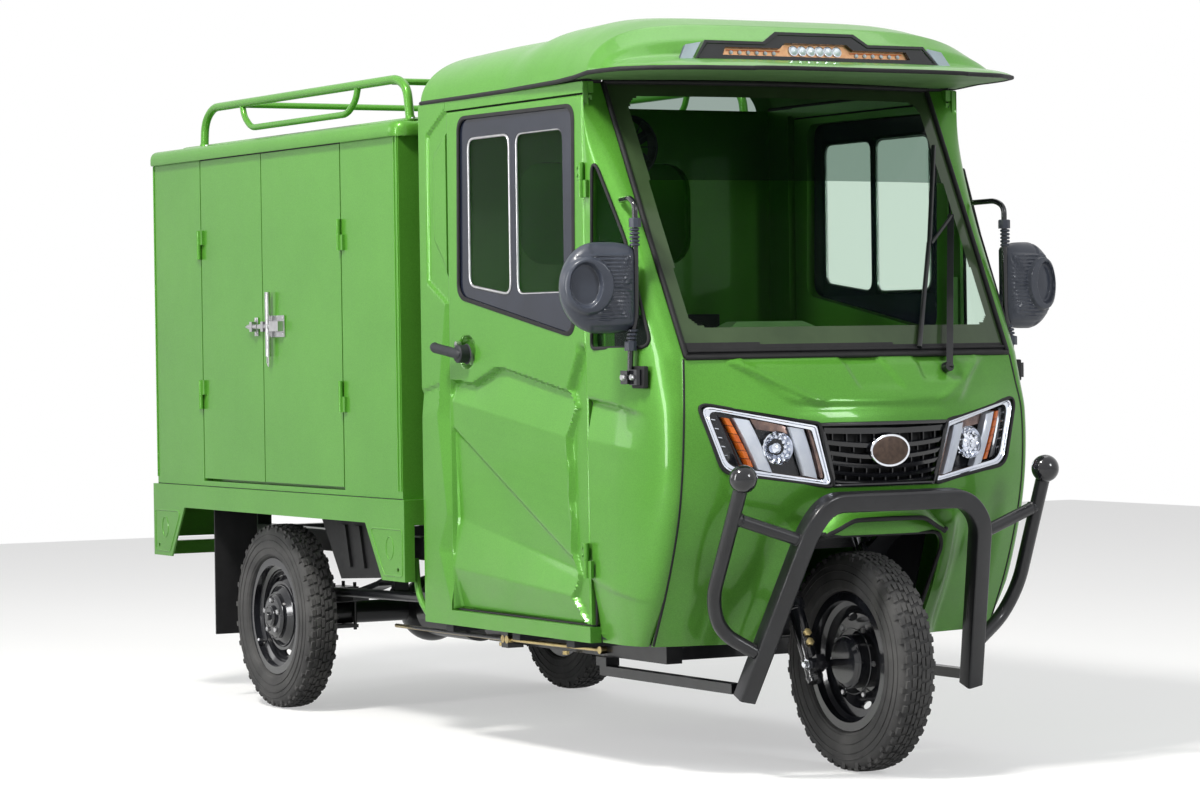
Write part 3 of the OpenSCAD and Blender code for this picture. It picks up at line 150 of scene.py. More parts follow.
def paint_material():
    """Green metallic paint: flakes under a clear coat, with a little dust towards the sills."""
    m, tree, bsdf = new_material("green_metallic_paint")
    flakes = node(tree, "ShaderNodeTexVoronoi", {"Scale": 900, "Vector": object_coords(tree)})
    grains = ramp(tree, flakes.outputs["Color"], [(0.0, (0.042, 0.155, 0.014)), (1.0, (0.118, 0.39, 0.046))])
    cloud = ramp(tree, noise(tree, 3.5, 3.0), [(0.25, (0.070, 0.240, 0.024)), (0.75, (0.094, 0.300, 0.034))])
    # Dust gathers low down, in patches.
    place = node(tree, "ShaderNodeSeparateXYZ", {"Vector": object_coords(tree)})
    low = node(tree, "ShaderNodeMapRange", {"Value": place.outputs["Z"], "From Min": 0.62, "From Max": 0.30})
    dust = calc(tree, "MULTIPLY", low.outputs["Result"], spread(tree, noise(tree, 9.0), -0.1, 0.25))
    green = blend_colours(tree, 0.45, cloud, grains)
    give(tree, bsdf, {
        "Base Color": blend_colours(tree, dust, green, (0.20, 0.22, 0.15, 1)),
        "Roughness": spread(tree, noise(tree, 22.0), 0.30, 0.40),
        "Metallic": 0.2, "Specular IOR Level": 0.15, "Coat Weight": 0.32, "Coat Roughness": 0.05})
    bump(tree, bsdf, noise(tree, 240.0, 2.0), 0.04, 0.0006)
    return m


def glass_material(name, passed, shine, rough=0.01):
    """Thin glass: it passes light by a tint and reflects a share that grows at the edges."""
    m, tree, bsdf = new_material(name)
    smears = spread(tree, noise(tree, 5.0), rough, rough + 0.04)
    give(tree, bsdf, {"Base Color": (0.012, 0.016, 0.015, 1), "IOR": 1.6, "Roughness": smears})
    clear = node(tree, "ShaderNodeBsdfTransparent", {"Color": (*passed, 1)})
    facing = node(tree, "ShaderNodeLayerWeight", {"Blend": 0.5}).outputs["Facing"]
    share = calc(tree, "MULTIPLY_ADD", calc(tree, "POWER", facing, 4.0), 0.8, shine)
    show_blend(tree, "Material Output", share, clear.outputs["BSDF"], bsdf.outputs["BSDF"])
    return m


PAINT = paint_material()
FRAME_BLACK = surface("frame_black", (0.018, 0.019, 0.022), (0.010, 0.010, 0.012), 0.0, (0.28, 0.42), 12,
                      (60, 0.05, 0.001), 0.3)
GLOSS_BLACK = surface("gloss_black", (0.014, 0.015, 0.019), (0.008, 0.008, 0.010), 0.0, (0.12, 0.22), 10,
                      None, 0.6)
TRIM = surface("trim_plastic", (0.024, 0.026, 0.031), (0.015, 0.016, 0.020), 0.0, (0.48, 0.62), 18,
               (420, 0.25, 0.0006))
SEAL = surface("seal_rubber", (0.012, 0.012, 0.013), (0.007, 0.007, 0.008), 0.0, (0.55, 0.7), 20,
               (160, 0.12, 0.0006))
TYRE_RUBBER = surface("tyre_rubber", (0.085, 0.084, 0.083), (0.040, 0.040, 0.041), 0.0, (0.72, 0.9), 9,
                      (220, 0.3, 0.0008))
CHROME = surface("chrome", (0.82, 0.84, 0.88), (0.70, 0.73, 0.80), 1.0, (0.06, 0.14), 8)
ZINC = surface("yellow_zinc", (0.58, 0.47, 0.22), (0.40, 0.30, 0.14), 1.0, (0.3, 0.45), 30)
STEEL = surface("plain_steel", (0.55, 0.55, 0.56), (0.40, 0.40, 0.41), 1.0, (0.25, 0.4), 26)
LEATHER = surface("seat_leather", (0.030, 0.030, 0.032), (0.017, 0.017, 0.019), 0.0, (0.42, 0.55), 16,
                  (130, 0.35, 0.0012))
# The lining's green is its own colour made lighter, painted light that brightens the dim cab inside.
LIGHTENED_LINING = surface("lightened_green_lining", (0.17, 0.33, 0.12), (0.12, 0.25, 0.085), 0.0, (0.5, 0.65), 6,
                 (50, 0.1, 0.001))
BRONZE = surface("badge_bronze", (0.10, 0.070, 0.055), (0.055, 0.040, 0.034), 0.8, (0.35, 0.5), 60,
                 (300, 0.2, 0.0004))
AMBER = surface("amber_lens", (0.85, 0.20, 0.02), (0.60, 0.10, 0.01), 0.0, (0.15, 0.3), 40, (80, 0.4, 0.001),
                0.5)
COPPER = surface("copper_board", (0.75, 0.42, 0.22), (0.60, 0.30, 0.14), 0.5, (0.3, 0.45), 60)
WHITE_GUIDE = surface("light_guide", (0.80, 0.83, 0.88), (0.66, 0.70, 0.78), 0.0, (0.18, 0.3), 20, None, 0.6)
RED_LENS = surface("red_lens", (0.45, 0.012, 0.012), (0.28, 0.006, 0.006), 0.0, (0.12, 0.25), 30,
                   (60, 0.3, 0.001), 0.6)
FRIT = surface("glass_frit", (0.014, 0.018, 0.032), (0.009, 0.012, 0.022), 0.0, (0.10, 0.18), 9, None, 0.15)
GREEN_FRIT = surface("green_frit", (0.050, 0.082, 0.036), (0.036, 0.062, 0.027), 0.0, (0.10, 0.18), 9, None,
                     0.1)
FAN_BLADE = surface("fan_blade", (0.42, 0.05, 0.18), (0.22, 0.03, 0.20), 0.0, (0.3, 0.45), 20)
LIGHT_PANEL = surface("pale_panel", (0.36, 0.42, 0.48), (0.28, 0.33, 0.38), 0.2, (0.3, 0.4), 14)
MIRROR_GLASS = surface("mirror_glass", (0.90, 0.92, 0.93), (0.86, 0.88, 0.90), 1.0, (0.01, 0.03), 4)
SHELL = surface("mirror_shell", (0.050, 0.058, 0.078), (0.036, 0.042, 0.058), 0.0, (0.30, 0.42), 16,
                (420, 0.2, 0.0005), 0.2)
SMOKED = surface("smoked_chrome", (0.30, 0.20, 0.16), (0.12, 0.09, 0.09), 0.9, (0.12, 0.3), 40)
GRILLE_BACK = surface("grille_back", (0.01, 0.01, 0.011), (0.006, 0.006, 0.007), 0, (0.6, 0.7), 20)
WINDOW = glass_material("window_glass", (0.86, 0.93, 0.88), 0.02)
TINT = glass_material("tinted_glass", (0.34, 0.42, 0.38), 0.10)
LENS = glass_material("lamp_lens", (0.97, 0.98, 1.0), 0.01)


# Mesh helpers.

def linked(name, data):
    o = bpy.data.objects.new(name, data)
    bpy.context.scene.collection.objects.link(o)
    return o


def shade_smooth(mesh, angle):
    """Smooth shading that stays sharp where faces meet at more than the angle."""
    mesh.polygons.foreach_set("use_smooth", [True] * len(mesh.polygons))
    mesh.set_sharp_from_angle(angle=math.radians(angle))


def add_object(name, mesh, material, body, slot=None, replaces=(), smooth=40):
    """An object that rides on a body; with smooth 0 its faces stay flat until they are cut."""
    o = linked(name, mesh)
    for m in material if isinstance(material, (list, tuple)) else [material]:
        mesh.materials.append(m)
    if smooth:
        shade_smooth(mesh, smooth)
    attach(o, body)
    if replaces:
        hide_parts(*replaces)
    return o


class Shape:
    """Points and faces gathered for one mesh, with a material index a face."""

    def __init__(self):
        self.points = []
        self.faces = []
        self.tags = []

    def add(self, points, faces, tag=0):
        base = len(self.points)
        self.points.extend(tuple(p) for p in points)
        self.faces.extend(tuple(base + i for i in f) for f in faces)
        self.tags.extend([tag] * len(faces))

    def grid(self, rows, tag=0, close_u=False, close_v=False):
        """Rows of points, joined to each other and, when asked, round in either direction."""
        n = len(rows)
        k = len(rows[0])
        faces = []
        for i in range(n if close_u else n - 1):
            for j in range(k if close_v else k - 1):
                i1 = (i + 1) % n
                j1 = (j + 1) % k
                faces.append((i * k + j, i * k + j1, i1 * k + j1, i1 * k + j))
        self.add([p for row in rows for p in row], faces, tag)

    def tube(self, path, radius, sides=12, tag=0, caps=True, closed=False):
        """A tube along points, with a radius that may differ from point to point."""
        pts = [Vector(p) for p in path]
        n = len(pts)
        radii = radius if isinstance(radius, (list, tuple)) else [radius] * n
        rows = []
        side = None
        for i, p in enumerate(pts):
            a = pts[(i - 1) % n] if closed or i > 0 else p
            b = pts[(i + 1) % n] if closed or i < n - 1 else p
            along = (b - a).normalized()
            if side is None:
                side = along.orthogonal().normalized()
            side = (side - along * side.dot(along)).normalized()
            up = along.cross(side)
            rows.append([p + radii[i] * (side * math.cos(t) + up * math.sin(t))
                         for t in turns(sides)])
        self.grid(rows, tag, close_u=closed, close_v=True)
        if caps and not closed:
            base = len(self.points) - n * sides
            self.faces.append(tuple(base + j for j in reversed(range(sides))))
            self.faces.append(tuple(base + (n - 1) * sides + j for j in range(sides)))
            self.tags.extend([tag, tag])

    def box(self, x, y, z, tag=0):
        pts = [(a, b, c) for a in x for b in y for c in z]
        self.add(pts, [(0, 1, 3, 2), (4, 6, 7, 5), (0, 4, 5, 1), (2, 3, 7, 6), (0, 2, 6, 4), (1, 5, 7, 3)],
                 tag)

    def lathe(self, profile, centre, axis, sides=48, tag=0):
        """A profile of (radius, height) turned about an axis; where the radius is 0 it closes."""
        axis = Vector(axis).normalized()
        u = axis.orthogonal().normalized()
        v = axis.cross(u)
        rows = []
        for r, h in profile:
            rows.append([Vector(centre) + axis * h + r * (u * math.cos(t) + v * math.sin(t))
                         for t in turns(sides)])
        self.grid(rows, tag, close_v=True)

    def mesh(self, name, merge=0.02):
        m = bpy.data.meshes.new(name)
        m.from_pydata([scene_point(p) for p in self.points], [], self.faces)
        m.polygons.foreach_set("material_index", self.tags)
        b = bmesh.new()
        b.from_mesh(m)
        bmesh.ops.remove_doubles(b, verts=b.verts, dist=merge / 1000)
        bmesh.ops.recalc_face_normals(b, faces=b.faces)
        b.to_mesh(m)
        b.free()
        return m

    def made(self, name, *look, merge=0.02, **options):
        return add_object(name, self.mesh(name, merge), *look, **options)


def mirrored(shape):
    other = Shape()
    other.points = [(p[0], -p[1], p[2]) for p in shape.points]
    other.faces = [tuple(reversed(f)) for f in shape.faces]
    other.tags = list(shape.tags)
    return other


def both(shape):
    other = mirrored(shape)
    shape.add(other.points, other.faces)
    shape.tags[-len(other.tags):] = other.tags
    return shape


def bevel(o, width=1.5, segments=2, angle=35):
    m = o.modifiers.new("edge", "BEVEL")
    m.width = width / 1000
    m.segments = segments
    m.limit_method = "ANGLE"
    m.angle_limit = math.radians(angle)
    m.harden_normals = False
    return o


def bend_path(points, radius, steps=6):
    """A polyline with each inner corner rounded by an arc-like curve of about the radius."""
    pts = [Vector(p) for p in points]
    out = [pts[0]]
    for a, b, c in zip(pts, pts[1:], pts[2:]):
        u = a - b
        v = c - b
        reach = min(radius, u.length * 0.49, v.length * 0.49)
        p = b + u.normalized() * reach
        q = b + v.normalized() * reach
        for i in range(steps + 1):
            t = i / steps
            out.append((1 - t) ** 2 * p + 2 * t * (1 - t) * b + t * t * q)
    out.append(pts[-1])
    return out


# The cab's surfaces.

SECTIONS = np.array([
    (310, 1990, 2110, 480, 2190), (450, 2010, 2180, 482, 2290), (600, 2030, 2235, 482, 2360),
    (720, 2040, 2258, 482, 2392), (850, 2040, 2262, 478, 2392), (920, 2035, 2250, 470, 2350),
    (990, 2030, 2236, 462, 2300), (1320, 1905, 2060, 470, 2120), (1650, 1780, 1885, 475, 1940)], float)
DOOR_X1 = 1914.0
CAB_HW = 540.0
HINGE_HEIGHTS = (508, 1416)
LATCH_Z = 1086


def column(z, c):
    """A column of the section table at height z: smooth below the belt, straight above it."""
    zs = SECTIONS[:, 0]
    vs = SECTIONS[:, c]
    if z >= 990:
        return float(np.interp(z, zs, vs))
    i = int(np.clip(np.searchsorted(zs, z) - 1, 0, 5))

    def slope(k):
        if k == 0:
            return (vs[1] - vs[0]) / (zs[1] - zs[0])
        if k == 6:
            return (vs[6] - vs[5]) / (zs[6] - zs[5])
        return (vs[k + 1] - vs[k - 1]) / (zs[k + 1] - zs[k - 1])
    h = zs[i + 1] - zs[i]
    t = (z - zs[i]) / h
    return float((2 * t ** 3 - 3 * t * t + 1) * vs[i] + (t ** 3 - 2 * t * t + t) * h * slope(i)
                 + (3 * t * t - 2 * t ** 3) * vs[i + 1] + (t ** 3 - t * t) * h * slope(i + 1))


def front_point(z, s, d=0.0):
    """A point of the front at height z and share s of the half width, set back by d."""
    xc, wc, xn = column(z, 2), column(z, 3), column(z, 4)
    return (xc + (xn - xc) * (1 - s * s) - d, s * (wc - d * 0.15), z)


def front_at(y, z, d=0.0):
    return front_point(z, y / column(z, 3), d)


def corner_point(z, t, d=0.0):
    """A point of the right corner, t degrees round from the side to the front, set back by d."""
    xs, xc, wc = max(column(z, 1), DOOR_X1 + 2), column(z, 2), column(z, 3)
    a = math.radians(t)
    y = -wc - (CAB_HW - wc - d) * math.cos(a) + d * 0.15 * math.sin(a)
    return (xs + (xc - xs - d) * math.sin(a), y, z)


def ease(x, a, b):
    """0 below a, 1 above b, smooth between."""
    t = min(1.0, max(0.0, (x - a) / (b - a)))
    return t * t * (3 - 2 * t)


def within(x, a, b, edge):
    return ease(x, a - edge / 2, a + edge / 2) * (1 - ease(x, b - edge / 2, b + edge / 2))


def line_at(x, pts):
    return float(np.interp(x, [p[0] for p in pts], [p[1] for p in pts]))


# Headlamp corners in Y and Z for the left side, and the arch.
LAMP_IN_TOP = (181, 832)
LAMP_IN_BOTTOM = (143, 684)
LAMP_OUT_TOP = (450, 884)
LAMP_OUT_BOTTOM = (398, 722)
ARCH_TOP = 568
ARCH_HW = 215


def rounded_outline(corners, steps=6):
    """Corners (x, y, r) of a convex outline, each rounded."""
    out = []
    n = len(corners)
    for i in range(n):
        a = Vector(corners[i - 1][:2])
        b = Vector(corners[i][:2])
        c = Vector(corners[(i + 1) % n][:2])
        r = corners[i][2]
        if r <= 0:
            out.append(b)
            continue
        u = (a - b).normalized()
        v = (c - b).normalized()
        reach = min(r / math.tan(math.acos(max(-1, min(1, u.dot(v)))) / 2), (a - b).length * 0.48,
                    (c - b).length * 0.48)
        for k in range(steps + 1):
            t = k / steps
            out.append((1 - t) ** 2 * (b + u * reach) + 2 * t * (1 - t) * b + t * t * (b + v * reach))
    return out


def lamp_outline(g=0.0, side=1):
    """The lamp's outline in Y and Z, drawn in by g."""
    corners = [(LAMP_IN_BOTTOM[0] + g, LAMP_IN_BOTTOM[1] + g, 10),
               (LAMP_OUT_BOTTOM[0] - g, LAMP_OUT_BOTTOM[1] + g, 42),
               (LAMP_OUT_TOP[0] - 1.5 * g, LAMP_OUT_TOP[1] - g, 18),
               (LAMP_IN_TOP[0] + g, LAMP_IN_TOP[1] - g, 10)]
    return [Vector((side * p.x, p.y)) for p in rounded_outline(corners)]


def prism(name, outline, start, end, axis="X"):
    """A cutter: an outline carried along X, in Y and Z, or along Y, in X and Z."""
    def place(p, along):
        return scene_point((along, p[0], p[1]) if axis == "X" else (p[0], along, p[1]))
    n = len(outline)
    pts = [place(p, along) for along in (start, end) for p in outline]
    faces = [tuple(range(n)), tuple(reversed(range(n, 2 * n)))]
    faces += [(i, i + n, (i + 1) % n + n, (i + 1) % n) for i in range(n)]
    m = bpy.data.meshes.new(name)
    m.from_pydata(pts, [], faces)
    b = bmesh.new()
    b.from_mesh(m)
    bmesh.ops.recalc_face_normals(b, faces=b.faces)
    b.to_mesh(m)
    b.free()
    return linked(name, m)


def carve(o, cutters):
    """Cuts the cutters out of the object's mesh and deletes them."""
    for c in cutters:
        m = o.modifiers.new("cut", "BOOLEAN")
        m.operation = "DIFFERENCE"
        m.solver = "EXACT"
        m.object = c
    deps = bpy.context.evaluated_depsgraph_get()
    mesh = bpy.data.meshes.new_from_object(o.evaluated_get(deps))
    o.modifiers.clear()
    old = o.data
    o.data = mesh
    bpy.data.meshes.remove(old)
    for c in cutters:
        bpy.data.objects.remove(c)


def closed_panel(shape, point, us, vs, thick):
    """A closed sheet with a front, a back and four edges."""
    outer = [[point(u, v, 0.0) for v in vs] for u in us]
    inner = [[point(u, v, thick) for v in vs] for u in us]
    sheets = [outer, inner, [outer[0], inner[0]], [outer[-1], inner[-1]]]
    sheets += [[[row[k] for row in sheet] for sheet in (outer, inner)] for k in (0, -1)]
    for rows in sheets:
        shape.grid(rows)


# Front panel.

def hood_height(z, s):
    """How far the front panel's relief stands out at a height and a share of the half width."""
    a = abs(s)
    edge = line_at(z, [(836, 0.39), (978, 0.74)])
    lip = 868 + 22 * s * s
    bonnet = (1 - ease(a, edge - 0.035, edge + 0.035)) * ease(z, lip - 4, lip + 22)
    h = 9.0 * bonnet
    # The strip under the windshield drops away.
    h -= 7.0 * ease(z, 966, 984) * (1 - ease(a, 0.70, 0.78))
    # A shallow scoop in the middle and a pocket for the wiper's pivot.
    scoop = within(s, -0.16 + (985 - z) * 0.0006, 0.06 + (985 - z) * 0.0012, 0.03) * ease(z, 905, 925)
    h -= 6.0 * scoop
    pocket = within(s, 0.30, 0.56, 0.05) * ease(z, 922, 942)
    h -= 8.0 * pocket
    # The flare round the wheel's arch.
    y = a * column(z, 3)
    out = y - (ARCH_HW - max(0.0, (z - 300) / 268 * 30))
    h += 12.0 * (1 - ease(out, 30, 75)) * (1 - ease(z, 575, 625))
    # The shoulder over the arch, and the tuck beside it.
    h -= 10.0 * within(y, 255, 400, 60) * within(z, 330, 600, 120)
    # A raised rib from the windshield's outer corner down to the middle of the lip.
    rib = line_at(z, [(868, -0.30), (975, -0.74)])
    h += 5.0 * within(s, rib - 0.035, rib + 0.035, 0.02) * within(z, 880, 985, 16)
    h += 3.0 * within(-s, rib - 0.035, rib + 0.035, 0.02) * within(z, 880, 985, 16)
    return 1.3 * h


def front_relief(z, s, d):
    x, y, zz = front_point(z, s, d)
    return (x + hood_height(z, s), y, zz)


def build_fascia():
    s = Shape()
    zs = np.linspace(310, 988, 114)
    shares = np.linspace(-1, 1, 161)
    closed_panel(s, front_relief, zs, shares, 14)
    o = s.made("front_panel", PAINT, "chassis", "body_paint", ["front_fascia"], smooth=0)
    arch = rounded_outline([(-ARCH_HW - 3, 240, 0), (ARCH_HW + 3, 240, 0), (ARCH_HW - 28, ARCH_TOP, 46),
                            (-ARCH_HW + 28, ARCH_TOP, 46)], 8)
    grille = [(-151, 682), (151, 682), (189, 834), (-189, 834)]
    carve(o, [prism("arch_cut", arch, 1900, 2700), prism("lamp_cut_l", lamp_outline(-3), 1900, 2700),
              prism("lamp_cut_r", lamp_outline(-3, -1), 1900, 2700), prism("grille_cut", grille, 1900, 2700)])
    shade_smooth(o.data, 50)
    # Black gaskets round the lamps and the rolled edge of the arch.
    g = Shape()
    for side in (-1, 1):
        g.tube([front_at(p[0], p[1], -1.5) for p in lamp_outline(-1, side)], 4.0, 8, closed=True)
    edge = [p for p in arch if p[1] > 300]
    k = max(range(len(edge)), key=lambda i: (Vector(edge[i]) - Vector(edge[i - 1])).length)
    ordered = edge[k:] + edge[:k]
    ordered = [(ordered[0][0], 312)] + ordered + [(ordered[-1][0], 312)]
    path = []
    for y, z in ordered:
        path.append(Vector(front_at(y, z, 0)) + Vector((hood_height(z, y / column(z, 3)), 0, 0)))
    g.tube(path, 5.0, 8)
    g.made("front_gaskets", SEAL, "chassis", "seal")


def build_brow():
    """The lip over the front wheel: a crowned top with a black rubber edge."""
    s = Shape()
    rows = []
    for u in np.linspace(0, 1, 15):
        hw = 192 - 26 * u ** 2
        row = []
        for v in np.linspace(-1, 1, 41):
            y = hw * v
            base = front_at(max(-250, min(250, y)), 640 - 40 * abs(v) ** 3, 0)
            x = base[0] - 6 + (WHEELBASE + 152 - 26 * v * v - base[0]) * u
            crown = (1 - abs(v) ** 5) ** 0.8
            z = ARCH_TOP + 6 + (70 - 34 * u ** 1.5) * crown * (1 - 0.55 * ease(abs(v), 0.55, 0.95))
            row.append((x, y, z))
        rows.append(row)
    base = ARCH_TOP + 8
    low = [[(p[0] - 3, p[1] * 0.985, min(p[2] - 5, base + (p[2] - ARCH_TOP - 8) * 0.8)) for p in row]
           for row in rows]
    s.grid(rows)
    s.grid(low)
    s.grid([rows[-1], low[-1]])
    s.grid([[r[0] for r in rows], [r[0] for r in low]])
    s.grid([[r[-1] for r in rows], [r[-1] for r in low]])
    s.made("brow", PAINT, "chassis", "body_paint", smooth=50)
    e = Shape()
    rim = [Vector(p) + Vector((0, 0, -4)) for p in rows[-1]]
    left = [Vector(r[0]) for r in rows[::-1]][1:]
    right = [Vector(r[-1]) for r in rows]
    e.tube(right[:-1] + rim[::-1] + left, 5.5, 8)
    e.made("brow_edge", SEAL, "chassis", "seal")


# Lamps and grille.

def lamp_point(u, v, d, side):
    """A point of a lamp: u from its outer end to the inner, v from the top down, at depth d."""
    top = Vector(LAMP_OUT_TOP).lerp(Vector(LAMP_IN_TOP), u)
    low = Vector(LAMP_OUT_BOTTOM).lerp(Vector(LAMP_IN_BOTTOM), u)
    p = top.lerp(low, v)
    return front_at(side * p.x, p.y, d)


def lamp_strip(s, corners, d0, d1, side, tag, n=8):
    """A raised strip between two edges, each given at its top and bottom as (u, v)."""
    (a0, a1), (b0, b1) = corners

    def at(edge, t, d):
        p = Vector(edge[0]).lerp(Vector(edge[1]), t)
        return lamp_point(p.x, p.y, d, side)
    ts = np.linspace(0, 1, n)
    rows = [[at((a0, a1), t, d1) for t in ts], [at((a0, a1), t, d0 + 3) for t in ts],
            [Vector(at((a0, a1), t, d0)).lerp(Vector(at((b0, b1), t, d0)), 0.15) for t in ts],
            [Vector(at((a0, a1), t, d0)).lerp(Vector(at((b0, b1), t, d0)), 0.85) for t in ts],
            [at((b0, b1), t, d0 + 3) for t in ts], [at((b0, b1), t, d1) for t in ts]]
    s.grid(rows, tag)
    s.add([r[0] for r in rows], [tuple(range(6))], tag)
    s.add([r[-1] for r in rows], [tuple(range(6))], tag)


def build_lamps():
    s = Shape()
    for side in (-1, 1):
        # The back of the housing, its bright rim and the dark fillers.
        us = np.linspace(0.015, 0.985, 24)
        vs = np.linspace(0.03, 0.97, 12)
        s.grid([[lamp_point(u, v, 34 + 8 * math.sin(math.pi * v), side) for v in vs] for u in us], 0)
        rim = [Vector(front_at(p[0], p[1], 6)) for p in lamp_outline(5, side)]
        s.tube(rim, 4.5, 8, 1, closed=True)
        inner = [Vector(front_at(p[0], p[1], 10)) for p in lamp_outline(14, side)]
        back = [Vector(front_at(p[0], p[1], 36)) for p in lamp_outline(16, side)]
        s.grid([rim, inner], 1, close_v=True)
        s.grid([inner, back], 0, close_v=True)
        # Day light panel with ticks at the outer end.
        lamp_strip(s, (((0.055, 0.12), (0.075, 0.80)), ((0.165, 0.13), (0.20, 0.86))), 16, 34, side, 0)
        for i in range(5):
            v = 0.2 + 0.13 * i
            tick = (((0.075, v), (0.077, v + 0.012)), ((0.12, v), (0.122, v + 0.012)))
            lamp_strip(s, tick, 13.5, 16, side, 1, 2)
        # Amber strip in blocks, two light guides with their feet, and the bowl.
        for i in range(6):
            v0 = 0.15 + 0.118 * i
            v1 = v0 + 0.108
            du = 0.012 * i
            block = (((0.185 + du, v0), (0.195 + du, v1)), ((0.24 + du, v0), (0.25 + du, v1)))
            lamp_strip(s, block, 13, 34, side, 2, 3)
        for u0, u1 in ((0.275, 0.345), (0.735, 0.765)):
            guide = (((u0, 0.13), (u1, 0.88)), ((u0 + 0.125, 0.13), (u1 + 0.115, 0.90)))
            lamp_strip(s, guide, 9, 34, side, 3, 10)
        c = Vector(lamp_point(0.585, 0.50, 30, side))
        axis = Vector((1, 0.12 * side, 0.05)).normalized()
        bowl = [(37, 16), (39, 14), (37, 10), (31, -2), (22, -10), (13, -14)]
        s.lathe(bowl, c, axis, 36, 1)
        s.lathe([(12, -14), (12, 4), (8, 7), (0.01, 8)], c, axis, 24, 1)
        # Facets of the bowl.
        u = axis.orthogonal().normalized()
        w = axis.cross(u)
        for ring, (r, h) in enumerate(((33, 3), (26, -5))):
            for k in range(14):
                a = 2 * math.pi * (k + 0.5 * ring) / 14
                out = u * math.cos(a) + w * math.sin(a)
                facet = [(4.6, 0), (3.4, 2.2), (0.01, 3.0)]
                s.lathe(facet, c + axis * h + r * out, (axis - 0.5 * out).normalized(), 8, 1)
        # Brown chrome shelf between the guides.
        lamp_strip(s, (((0.43, 0.10), (0.45, 0.25)), ((0.72, 0.12), (0.73, 0.24))), 20, 34, side, 4, 6)
        lamp_strip(s, (((0.90, 0.12), (0.91, 0.88)), ((0.975, 0.12), (0.97, 0.88))), 16, 34, side, 4, 6)
        lamp_strip(s, (((0.30, 0.90), (0.31, 0.955)), ((0.94, 0.90), (0.94, 0.95))), 14, 34, side, 4, 8)
    s.made("lamp_insides", [GLOSS_BLACK, CHROME, AMBER, WHITE_GUIDE, SMOKED], "chassis", "gloss_trim",
           ["headlamps"], 35, merge=0.005)
    lens = Shape()
    for side in (-1, 1):
        outline = lamp_outline(0, side)
        c = sum(outline, Vector((0, 0))) / len(outline)
        rows = []
        for k in np.linspace(1, 0.02, 12):
            rows.append([front_at(c.x + (p.x - c.x) * k, c.y + (p.y - c.y) * k,
                                  1.5 - 4 * (1 - k ** 4)) for p in outline])
        lens.grid(rows, close_v=True)
        lens.add(rows[-1], [tuple(range(len(outline)))])
    lens.made("headlamp_lenses", LENS, "chassis", "lens", ["lamp_lenses"], 60)


def grille_hw(z):
    return 140 + (z - 684) / 148 * 38


def build_grille():
    s = Shape()
    hw = grille_hw
    # Frame round the grille.
    corners = [(-hw(686) + 1, 686), (hw(686) - 1, 686), (hw(830) - 1, 830), (-hw(830) + 1, 830)]
    path = []
    for a, b in zip(corners, corners[1:] + corners[:1]):
        for t in np.linspace(0, 1, 14)[:-1]:
            path.append(front_at(a[0] + (b[0] - a[0]) * t, a[1] + (b[1] - a[1]) * t, 1))
    s.tube(path, 5.0, 8, closed=True)
    # A wide top bar and five slats that sag towards the middle, each tilted.
    for i, (z, high, dip, out) in enumerate(((817, 17, 4, 0), (790, 14, 12, 2), (766, 13, 15, 3),
                                             (743, 13, 14, 3), (720, 12, 12, 3), (699, 10, 7, 2))):
        ys = np.linspace(-hw(z) + 6, hw(z) - 6, 33)

        def edge(y, up, d):
            zz = z + up - dip * (1 - (y / hw(z)) ** 2)
            return front_at(y, zz, d)
        rows = [[edge(y, high / 2, 10 - out) for y in ys], [edge(y, high / 2 - 3, 2 - out) for y in ys],
                [edge(y, -high / 2 + 1, 5 - out) for y in ys], [edge(y, -high / 2, 16) for y in ys],
                [edge(y, high / 2, 22) for y in ys]]
        s.grid(rows, 0, close_u=True)
    # Staggered uprights between the slats.
    for i, z in enumerate((806, 781, 757, 734, 712)):
        for k in range(-4, 5):
            y = 36 * k + (18 if i % 2 else 0)
            if abs(y) < hw(z) - 12:
                p = front_at(y, z - 10 * (1 - (y / hw(z)) ** 2), 8)
                s.box((p[0] - 12, p[0] - 1), (y - 1.6, y + 1.6), (p[2] - 10, p[2] + 10))
    # The dark back.
    back = [[front_at(y, z, 26) for y in np.linspace(-hw(z) + 3, hw(z) - 3, 9)]
            for z in np.linspace(684, 832, 5)]
    s.grid(back, 1)
    # The plain oval boss: a ring and a bronze face.
    face = turns(48)
    ring = [Vector(front_at(52 * math.cos(a), 766 + 36 * math.sin(a), -6)) for a in face]
    s.tube(ring, 3.2, 8, 2, closed=True)
    rows = []
    for k, d in ((1.0, -4), (0.97, -7), (0.6, -9), (0.02, -10)):
        rows.append([front_at(52 * k * math.cos(a), 766 + 36 * k * math.sin(a), d) for a in face])
    s.grid(rows, 3, close_v=True)
    s.add(rows[-1], [tuple(range(48))], 3)
    wall = [[front_at(52 * math.cos(a), 766 + 36 * math.sin(a), d) for a in face] for d in (-5, 20)]
    s.grid(wall, 0, close_v=True)
    s.made("grille_slats", [GLOSS_BLACK, GRILLE_BACK, CHROME, BRONZE], "chassis", "trim", ["grille"], 40)


# Windshield.

